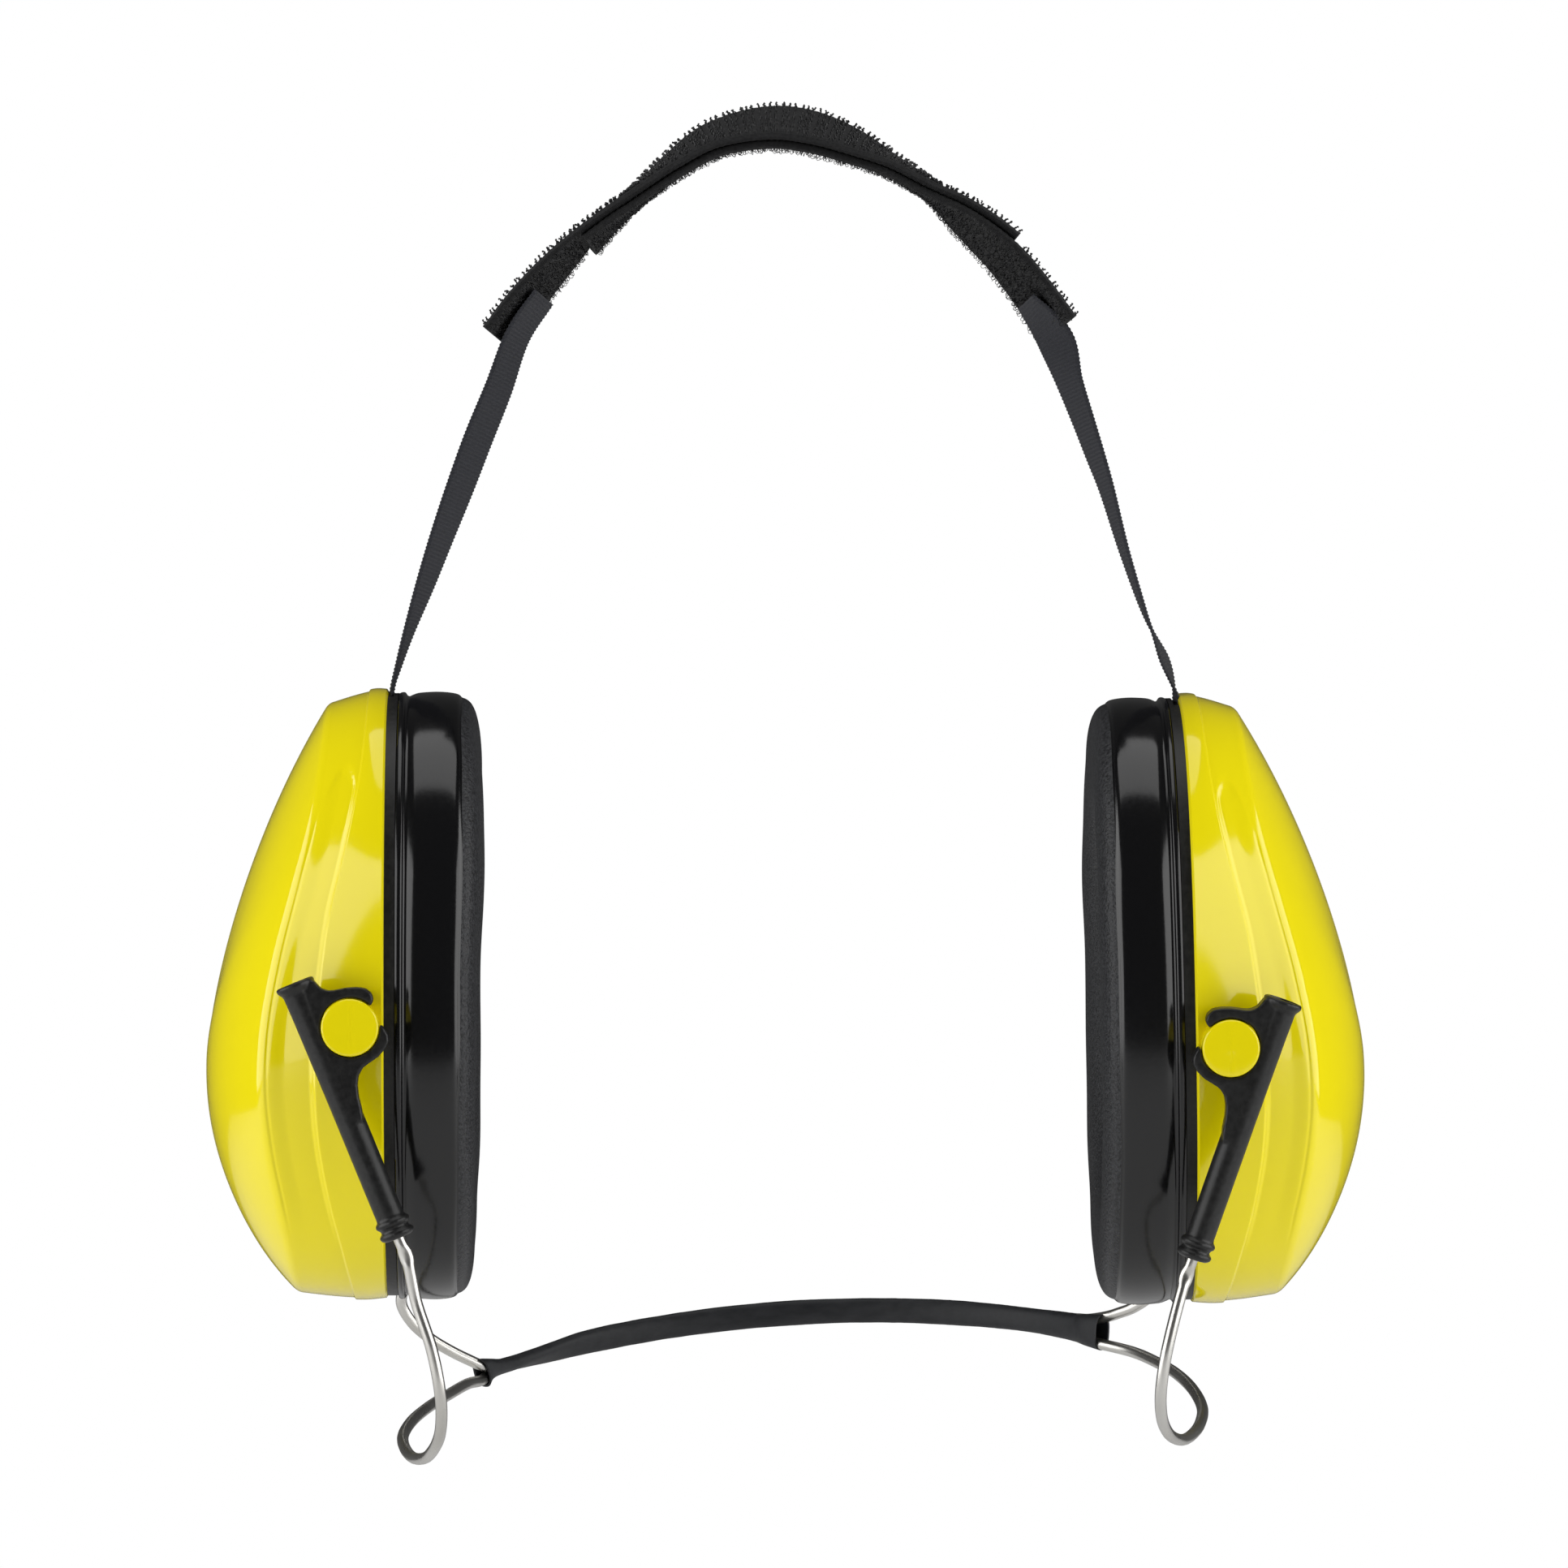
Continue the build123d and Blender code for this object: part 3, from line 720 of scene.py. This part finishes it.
def arm(side, place, sign):
    """One black arm, its shells merged into a single moulding with soft corners."""
    verts, faces = join(arm_parts(side))
    if sign > 0:
        verts = [(x, -y, z) for x, y, z in verts]
        faces = [tuple(reversed(f)) for f in faces]
    piece = finish_piece(f"{side}_{place}_arm_moulding", verts, faces, [ARM_BLACK], side)
    merge = piece.modifiers.new("merge", "REMESH")
    merge.mode = "VOXEL"
    merge.voxel_size = ARM_VOXEL
    soften = piece.modifiers.new("soften", "SMOOTH")
    soften.factor = 0.5
    soften.iterations = 6
    apply_modifiers(piece)
    bore_through(piece, side, sign)
    piece.data.polygons.foreach_set("use_smooth", [True] * len(piece.data.polygons))
    piece.data.set_sharp_from_angle(angle=math.radians(50))
    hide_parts(f"{side}_{place}_arm")
    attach(piece, f"{side}_arms")


# ---- neckband ----
NECK_CENTRE_Y, NECK_RADIUS = 35.8, 59.2
NECK_ENDS = {"right": 156.0, "left": 24.0}  # in degrees from +X
NECK_MID_Z, NECK_LEAN, NECK_DROP = -60.6, 0.0674, -0.00154
WIRE_RADIUS, WIRE_SIDES = 1.0, 20


def neck_line(start, end, count):
    """Points on the band's curve round the neck between two angles."""
    a = np.radians(np.linspace(start, end, count))
    x = NECK_RADIUS * np.cos(a)
    y = NECK_CENTRE_Y + NECK_RADIUS * np.sin(a)
    dip = 0.3 * smooth_step((-36 - x) / 8)
    return np.stack([x, y, NECK_MID_Z + NECK_LEAN * x + NECK_DROP * x * x - dip], 1)


SLEEVE_LEFT_MOUTH = (56.3, 57.1, -61.7)
SLEEVE_SIDES, SLEEVE_THICK = 40, 0.32
# by distance from the right mouth: the sleeve's turn in degrees, its height and depth, and how
# far each wire is from its middle
SLEEVE_TWIST = [(0, 4), (2.5, 32), (5, 61), (9, 78), (15, 62), (26, 30), (42, 6), (55, 0), (140, 0)]
SLEEVE_HIGH = [(0, 5.5), (2.5, 5.0), (8, 4.55), (30, 4.5), (100, 4.5), (126, 4.6), (133, 5.1),
               (141, 6.4)]
SLEEVE_DEEP = [(0, 3.3), (2.5, 2.9), (8, 2.75), (100, 2.75), (126, 2.8), (134, 3.0), (141, 3.5)]
WIRE_APART = [(0, 1.25), (5, 1.03), (120, 1.03), (128, 1.2), (136.3, 1.95)]


def sleeve_axes(path):
    """Across the sleeve: the direction in which its two wires are stacked, and the flat one."""
    along, up, flat = path_frames(path, (0, 0, 1))
    turn = np.radians(table(SLEEVE_TWIST, running_length(path)))[:, None]
    stacked = up * np.cos(turn) + flat * np.sin(turn)
    return along, stacked, flat * np.cos(turn) - up * np.sin(turn)


def squared(wave, power):
    """A sine or cosine pulled towards a square wave."""
    return np.sign(wave) * np.abs(wave) ** power


def sleeve():
    """The flat black tube behind the neck, hollow, with soft mouths."""
    path = neck_line(NECK_ENDS["right"] + 0.4, NECK_ENDS["left"], 120)
    path = curve_through(np.vstack([path[:-1:4], path[-1], SLEEVE_LEFT_MOUTH]), 0.6)
    run = running_length(path)
    along, stacked, flat = sleeve_axes(path)
    sides = SLEEVE_SIDES
    a = circle_angles(sides)
    oval = np.stack([squared(np.cos(a), 0.7), squared(np.sin(a), 0.85)], 1)
    high, deep = table(SLEEVE_HIGH, run) / 2, table(SLEEVE_DEEP, run) / 2
    rng = np.random.default_rng(4)
    # slow unevenness: a running mean of 17 random numbers
    draws = rng.standard_normal(len(run) + 16)
    uneven = 1 + 0.012 * np.convolve(draws, np.ones(17) / 17 * 4, "valid")

    def skin(inset):
        h, d = (high * uneven - inset), (deep * uneven - inset)
        return (
            path[:, None]
            + stacked[:, None] * (h[:, None] * oval[None, :, 0])[..., None]
            + flat[:, None] * (d[:, None] * oval[None, :, 1])[..., None]
        )

    outer, inner = skin(0.0), skin(SLEEVE_THICK)
    # the right mouth is cut on a slant
    slant = np.clip(1 - run / 6.0, 0, 1)[:, None, None]
    for layer in (outer, inner):
        shift = (layer - path[:, None])[..., 2:3] * -0.5
        layer += along[:, None] * shift * slant
    rows = len(path)
    verts = np.concatenate([outer.reshape(-1, 3), inner.reshape(-1, 3)])
    faces = [f[::-1] for f in grid_faces(rows, sides)]
    faces += grid_faces(rows, sides, rows * sides)
    for row in (0, rows - 1):
        for c in range(sides):
            a0, b0 = row * sides + c, row * sides + (c + 1) % sides
            face = (a0, b0, b0 + rows * sides, a0 + rows * sides)
            faces.append(face if row == 0 else face[::-1])
    piece = finish_piece("sleeve", verts, faces, [SLEEVE], smooth_angle=60)
    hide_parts("neckband_sleeve")
    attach(piece, "neckband")


# the bare stretch of each wire after the arm's tube, up to the sleeve
WIRE_ROUTES = {
    ("right", "front"): [
        (-61.6, -44.4, -50.2), (-59.0, -44.6, -58.2), (-57.6, -43.4, -66.0), (-57.8, -38.4, -72.2),
        (-60.0, -28.0, -76.9), (-63.0, -15.0, -78.6), (-65.2, -3.0, -77.9), (-66.0, 6.0, -76.4),
        (-65.0, 15.0, -74.6), (-62.6, 25.5, -72.9), (-59.3, 38.0, -71.4), (-56.4, 49.0, -70.3),
    ],
    ("left", "front"): [
        (64.4, -41.8, -54.8), (63.2, -41.7, -60.4), (62.6, -40.2, -65.6), (62.9, -36.0, -69.8),
        (64.3, -28.0, -73.2), (66.8, -16.5, -75.3), (69.0, -6.5, -75.5), (71.1, 3.0, -74.2),
        (72.0, 11.0, -72.1), (70.9, 21.0, -69.5), (68.4, 31.0, -67.3), (65.3, 40.5, -65.9),
        (61.4, 50.0, -64.7),
    ],
    ("right", "rear"): [
        (-64.2, 45.4, -48.2), (-67.0, 47.8, -52.0), (-68.2, 49.6, -55.8), (-66.5, 51.2, -59.4),
        (-63.4, 53.2, -62.4), (-59.7, 55.8, -64.9), (-56.6, 57.9, -66.6),
    ],
    ("left", "rear"): [
        (65.4, 47.6, -47.6), (66.3, 49.0, -51.2), (64.9, 50.4, -54.5), (61.9, 52.6, -56.9),
        (59.3, 55.2, -58.1), (57.2, 57.5, -58.9),
    ],
}
# along the arm's tube, as TUBE_TOP: the wire's tip, its straight stretch and its pressed stop
WIRE_TIP, STOP_AT = 7.0, -38.7
WIRE_STRAIGHT = (WIRE_TIP, -12.0, -28.0, -36.0, -39.0)
CORE_POINTS = 200


def wire(side, place):
    """One spring wire, from its tip in the arm's tube to the middle of the sleeve."""
    sign = -1 if place == "front" else 1
    straight = []
    for along in WIRE_STRAIGHT:
        x, z = tube_point(side, along)
        straight.append(on_side(side, (x, sign * ARM_Y, z))[0])
    # the core, inside the sleeve, is measured from the right mouth
    whole = neck_line(NECK_ENDS["right"], NECK_ENDS["left"], CORE_POINTS)
    _, stacked, _ = sleeve_axes(whole)
    whole = whole + stacked * (sign * table(WIRE_APART, running_length(whole)))[:, None]
    middle = CORE_POINTS // 2
    core = whole[: middle + 1] if side == "right" else whole[: middle - 2 : -1]
    route = straight + list(WIRE_ROUTES[side, place]) + list(core[::6]) + [core[-1]]
    path = curve_through(route, 0.45)
    _, first, second = free_frames(path, (0, 1, 0))
    run = running_length(path)
    # the pressed stop just below the arm: wide in the plane of the arm, thin across it
    stop = np.exp(-(((run - (WIRE_TIP - STOP_AT)) / 1.3) ** 4))
    thin, wide = WIRE_RADIUS * (1 - 0.2 * stop), WIRE_RADIUS * (1 + 0.22 * stop)
    a = circle_angles(WIRE_SIDES)
    rings = (
        path[:, None]
        + first[:, None] * (thin[:, None] * np.cos(a))[..., None]
        + second[:, None] * (wide[:, None] * np.sin(a))[..., None]
    )
    verts, faces = swept_tube(rings)
    piece = finish_piece(f"{side}_{place}_spring_wire", verts, faces, [STEEL], smooth_angle=60)
    replaced = [f"{side}_{place}_wire"]
    if side == "right":
        replaced.append("lower_core_wire" if place == "front" else "upper_core_wire")
    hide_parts(*replaced)
    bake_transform(piece)


# ---- head strap ----
# the line between the two strips, X and Z, from the wearer's right to the left
STRAP_LINE = [
    (-48.6, 111.8), (-43.8, 118.6), (-37.7, 125.6), (-31.0, 132.2), (-26.6, 136.0), (-19.2, 142.2),
    (-12.3, 146.6), (-2.6, 148.7), (4.4, 147.9), (12.3, 145.0), (22.1, 139.7), (28.0, 135.4),
    (33.0, 131.4), (38.3, 126.5), (43.6, 119.8), (48.8, 112.4),
]
# the strap's lean, in degrees, by X: positive shows its outer face to the front
STRAP_LEAN = [(-50, -13), (-38, -7), (-31, -1), (-22, 6.5), (-15, 11.5), (-7, 15), (4, 16),
              (12, 12.3), (18, 7), (24, 4), (30, -5), (38, -11), (50, -14)]
STRIP_WIDTH, STRIP_HALF = 24.0, 0.75
STRIP_SHIFT = 0.80  # of each strip from the line between them
# where each strip is sewn to its ribbon, and where its free end lies on the other strip
OUTER_SEWN_X, INNER_SEWN_X = -48.9, 47.6
OUTER_END_X, INNER_END_X = 37.6, -34.6
HOOK_PITCH, PILE_PITCH = 0.95, (0.8, 0.9)
HOOK_THICK, PILE_THICK = 0.12, 0.06  # radius of each thread
# one hook's line: share of its reach, share of its height
HOOK_BEND = [(0.0, 0.0), (0.02, 0.45), (0.08, 0.8), (0.30, 1.0), (0.52, 0.86), (0.56, 0.66)]
NOWHERE = 60  # an X past every end of the strap


def strap_surface(low_x, high_x, shift, spacing):
    """Path, width direction and outward direction of a strip, shifted from the strap's line."""
    path = curve_through([(x, 0.0, z) for x, z in STRAP_LINE], spacing)
    path = path[(path[:, 0] >= low_x) & (path[:, 0] <= high_x)]
    along = unit(np.gradient(path, axis=0))
    out = np.cross(along, (0, 1, 0))
    out *= np.sign(out[:, 2:3])
    lean = np.radians(table(STRAP_LEAN, path[:, 0]))[:, None]
    wide = np.array([0, 1, 0]) * np.cos(lean) + out * np.sin(lean)
    out = out * np.cos(lean) - np.array([0, 1, 0]) * np.sin(lean)
    return path + out * shift, wide, out


def band_solid(path, wide, out, width, half, columns, bump):
    """A flat band with rounded edges; bump(along, across) raises its two faces."""
    run = running_length(path)
    across = np.linspace(-1, 1, columns)
    rings = []
    for i in range(len(path)):
        lift = half * np.sqrt(np.clip(1 - np.abs(across) ** 14, 0, 1))
        raised = bump(run[i], across * width / 2)
        line = path[i] + wide[i] * (across * width / 2)[:, None]
        top = line + out[i] * (lift + raised)[:, None]
        low = line - out[i] * (lift + raised)[:, None]
        rings.append(np.concatenate([top, low[::-1][1:-1]]))
    return swept_tube(np.array(rings))


def thread(points, start_up, sides, radius):
    """A closed thin tube along a few points."""
    _, first, second = free_frames(points, start_up)
    a = circle_angles(sides)
    rings = points[:, None] + first[:, None] * (radius * np.cos(a))[None, :, None]
    rings = rings + second[:, None] * (radius * np.sin(a))[None, :, None]
    return swept_tube(rings)


def hook_mesh(root, out, along, height, rng):
    """One small nylon hook standing on the tape."""
    side = np.cross(out, along)
    way = along if rng.random() < 0.5 else -along
    way = way * 0.85 + side * rng.uniform(-0.4, 0.4)
    points = np.array([root + way * (b * height * 0.75) + out * (h * height) for b, h in HOOK_BEND])
    return thread(points, side, 4, HOOK_THICK)


def fuzz_mesh(root, out, along, rng):
    """A small loop of soft pile on the other face of the tape."""
    side = np.cross(out, along)
    way = unit(along * rng.uniform(-1, 1) + side * rng.uniform(-1, 1))
    size = rng.uniform(0.35, 0.75)
    a = np.linspace(0, math.pi, 5)
    points = root + way * (np.cos(a) * size * 0.7)[:, None]
    points = points + out * (np.sin(a) * size - 0.1)[:, None]
    return thread(points, np.cross(way, out), 3, PILE_THICK)


def strip(name, node_name, ends, shift, hooks, pile, seed):
    """One strip: woven tape, hooks on its outer face and pile on its inner face.

    ends, hooks and pile are the lowest and highest X of each.
    """
    rng = np.random.default_rng(seed)
    path, wide, out = strap_surface(*ends, shift, 0.4)

    def weave(run, across):
        return 0.05 * np.sin(run * 2 * math.pi / 1.2) + 0.04 * np.sin(across * 2 * math.pi / 0.9)

    parts = [band_solid(path, wide, out, STRIP_WIDTH, STRIP_HALF, 50, weave)]
    along = unit(np.gradient(path, axis=0))
    run = running_length(path)
    sunk = STRIP_HALF - 0.05

    def root_at(i, across, jitter):
        return path[i] + wide[i] * (across + jitter[0]) + along[i] * jitter[1]

    for at in np.arange(0.5, run[-1] - 0.3, HOOK_PITCH):
        i = int(np.searchsorted(run, at))
        if not hooks[0] <= path[i, 0] <= hooks[1]:
            continue
        for across in np.arange(-11.4, 11.5, HOOK_PITCH):
            root = root_at(i, across, rng.uniform(-0.16, 0.16, 2)) + out[i] * sunk
            parts.append(hook_mesh(root, out[i], along[i], rng.uniform(0.4, 0.62), rng))
    for at in np.arange(0.4, run[-1] - 0.2, PILE_PITCH[0]):
        i = int(np.searchsorted(run, at))
        if not pile[0] <= path[i, 0] <= pile[1]:
            continue
        for across in np.arange(-11.8, 11.9, PILE_PITCH[1]):
            root = root_at(i, across, rng.uniform(-0.4, 0.4, 2)) - out[i] * sunk
            parts.append(fuzz_mesh(root, -out[i], along[i], rng))
    verts, faces = join(parts)
    tape_faces = len(parts[0][1])
    picks = [0] * tape_faces + [1] * (len(faces) - tape_faces)
    piece = finish_piece(name, verts, faces, [TAPE, HOOK], smooth_angle=60, picks=picks)
    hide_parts(node_name)
    return piece, run[-1]


def head_strap():
    """The two hook-and-loop strips, laid over each other on top of the head."""
    # hooks only where the outer face is bare, and pile only where the inner face is
    outer, outer_length = strip(
        "outer_strip", "outer_strap_strip", (OUTER_SEWN_X, OUTER_END_X), STRIP_SHIFT,
        hooks=(-NOWHERE, NOWHERE), pile=(-NOWHERE, INNER_END_X - 1), seed=11,
    )
    inner, inner_length = strip(
        "inner_strip", "inner_strap_strip", (INNER_END_X, INNER_SEWN_X), -STRIP_SHIFT,
        hooks=(OUTER_END_X + 0.5, NOWHERE), pile=(-NOWHERE, NOWHERE), seed=12,
    )
    for piece, end, length, below in (
        (outer, STRAP_LINE[0], outer_length, ["inner_strip", "right_ribbon_1"]),
        (inner, STRAP_LINE[-1], inner_length, ["left_ribbon_1"]),
    ):
        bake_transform(piece)


RIBBON_WIDTH, RIBBON_HALF, RIB_PITCH = 15.5, 0.3, 0.67
# each ribbon's middle line from the strip down into the cup, X and Z, and its turn in degrees
RIBBONS = {
    "right": [(-41.6, 119.6, -12), (-45.9, 113.2, -13), (-49.4, 103.7, -15), (-52.8, 95.3, -15.8),
              (-55.9, 87.0, -14.9), (-59.0, 78.6, -12.2), (-61.9, 70.3, -8.6), (-64.8, 61.9, -3),
              (-66.5, 56.3, 0), (-67.5, 52.6, 1.5), (-67.8, 49.0, 0.5), (-67.8, 45.2, 0)],
    "left": [(41.2, 118.8, -10), (46.2, 112.2, -21), (48.8, 104.6, -14), (51.1, 98.1, -11),
             (53.0, 92.6, -9), (54.9, 87.0, -6.4), (58.1, 75.8, -2.6), (61.8, 64.7, 1.2),
             (63.0, 61.9, 3), (65.0, 57.2, 7.5), (66.3, 53.4, 4), (66.9, 50.8, 0), (67.0, 46.2, 0),
             (67.0, 43.8, 0)],
}
# the heights at which each ribbon is cut from one stretch into the next
RIBBON_JOINTS = [109.5, 90.0, 67.0]


def ribs(run, across):
    """The cross ribs of the ribbon, and its firmer woven edges."""
    edge = 0.05 * smooth_step((np.abs(across) - RIBBON_WIDTH / 2 + 1.0) / 0.4)
    return 0.07 * np.cos(run * 2 * math.pi / RIB_PITCH) + edge


def ribbon_band(name, path, wide, out, start_run):
    """A stretch of ribbon, its ribs in step with the stretch before."""
    verts, faces = band_solid(path, wide, out, RIBBON_WIDTH, RIBBON_HALF, 24,
                              lambda run, across: ribs(run + start_run, across))
    piece = finish_piece(name, verts, faces, [RIBBON], smooth_angle=60)
    return piece


def ribbon(side):
    """The ribbon, in stretches cut at the heights in RIBBON_JOINTS."""
    points = RIBBONS[side]
    path = curve_through([(x, 0.0, z) for x, z, _ in points], 0.12)
    along = unit(np.gradient(path, axis=0))
    outward = np.cross((0, 1, 0), along)
    outward *= np.sign(outward[:, 0:1]) * (-1 if side == "right" else 1)
    turn = -np.radians(table([(z, t) for _, z, t in points], path[:, 2]))[:, None]
    front = np.array([0, -1, 0])
    wide = front * np.cos(turn) + outward * np.sin(turn)
    out = outward * np.cos(turn) - front * np.sin(turn)
    run = running_length(path)
    stretches = []
    for k, (top, low) in enumerate(zip([200.0] + RIBBON_JOINTS, RIBBON_JOINTS + [0.0])):
        pick = np.flatnonzero((path[:, 2] <= top) & (path[:, 2] >= low))
        pick = np.arange(pick[0], min(pick[-1] + 2, len(path)))
        name = f"{side}_ribbon_{k + 1}"
        piece = ribbon_band(name, path[pick], wide[pick], out[pick], run[pick[0]])
        stretches.append((piece, path[pick], run[pick[-1]] - run[pick[0]]))
    first, first_path, _ = stretches[0]
    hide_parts(f"{side}_strap_ribbon")
    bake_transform(first)
    for k in (1, 2, 3):
        piece, line, _ = stretches[k]
        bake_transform(piece)


# ---- build ----
for side in SIDES:
    cup_shell(side)
    cushion(side)
    foam_liner(side)
    for place, sign in (("front", -1), ("rear", 1)):
        arm(side, place, sign)
        wire(side, place)
    ribbon(side)
sleeve()
head_strap()

# the CAD nodes that stay in sight get their own material
for side in SIDES:
    for part in ("cushion_plate", "strap_anchor"):
        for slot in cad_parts[f"{side}_{part}"].material_slots:
            slot.material = PLATE_BLACK


# ---- stage ----
FLOOR_Z, FLOOR_HALF = -0.30, 1.3  # in metres, as all of the stage is
SIDE_BOX = {"size": (2.0, 1.15), "radiance": 2.65}
TOP_BOX = {"size": (1.6, 1.2), "radiance": 1.7}
ROOM_LIGHT = 0.06  # what the world gives everywhere but behind the object


def stage():
    """A plain pale floor under the object."""
    white, tree, shader = new_material("floor_white", (0.93, 0.93, 0.93), 0.9)
    grain = noise_height(tree, 3.0, 2.0)
    vary_colour(tree, shader, grain, (0.92, 0.92, 0.92), (0.94, 0.94, 0.94))
    square = ((-1, -1), (1, -1), (1, 1), (-1, 1))
    corners = [(x * FLOOR_HALF, y * FLOOR_HALF, FLOOR_Z) for x, y in square]
    mesh = bpy.data.meshes.new("floor")
    mesh.from_pydata(corners, [], [(0, 1, 2, 3)])
    mesh.materials.append(white)
    floor = bpy.data.objects.new("floor", mesh)
    bpy.context.scene.collection.objects.link(floor)


def softbox(name, place, size, radiance, target=(0, 0, 0.03)):
    """A soft rectangular light of an even radiance, turned to the target."""
    light = bpy.data.lights.new(name, "AREA")
    light.shape = "RECTANGLE"
    light.size, light.size_y = size
    light.energy = radiance * size[0] * size[1] * math.pi
    lamp = bpy.data.objects.new(name, light)
    lamp.location = place
    lamp.rotation_euler = (Vector(target) - Vector(place)).to_track_quat("-Z", "Y").to_euler()
    bpy.context.scene.collection.objects.link(lamp)


def studio_world():
    """White behind the object, and dim all round for what lights it and what it mirrors."""
    world = bpy.data.worlds.new("world")
    bpy.context.scene.world = world
    world.use_nodes = True
    tree = world.node_tree
    seen = node(tree, "ShaderNodeLightPath")
    dim = tree.nodes["Background"]
    dim.inputs["Color"].default_value = (1, 1, 1, 1)
    dim.inputs["Strength"].default_value = ROOM_LIGHT
    white = node(tree, "ShaderNodeBackground", Strength=1.0)
    white.inputs["Color"].default_value = (1, 1, 1, 1)
    choose = node(tree, "ShaderNodeMixShader")
    tree.links.new(seen.outputs["Is Camera Ray"], choose.inputs[0])
    tree.links.new(dim.outputs[0], choose.inputs[1])
    tree.links.new(white.outputs[0], choose.inputs[2])
    tree.links.new(choose.outputs[0], tree.nodes["World Output"].inputs["Surface"])


stage()
softbox("softbox_left", (-1.3, -0.4, 0.28), **SIDE_BOX)
softbox("softbox_right", (1.3, -0.4, 0.28), **SIDE_BOX)
softbox("softbox_top", (0, -0.15, 1.6), **TOP_BOX)
studio_world()
bpy.context.scene.view_settings.view_transform = "Standard"

# ---- camera ----
CAMERA_X, CAMERA_AWAY, CAMERA_Z = -0.35, 1500.0, 36.0
FRAME_WIDTH = 269.1  # what the picture takes in at the object
SENSOR = 36.0
camera_data = bpy.data.cameras.new("camera")
camera_data.sensor_width = SENSOR
camera_data.lens = SENSOR * CAMERA_AWAY / FRAME_WIDTH
camera = bpy.data.objects.new("camera", camera_data)
camera.location = (CAMERA_X * MM, -CAMERA_AWAY * MM, CAMERA_Z * MM)
camera.rotation_euler = (math.pi / 2, 0, 0)
bpy.context.scene.collection.objects.link(camera)
bpy.context.scene.camera = camera
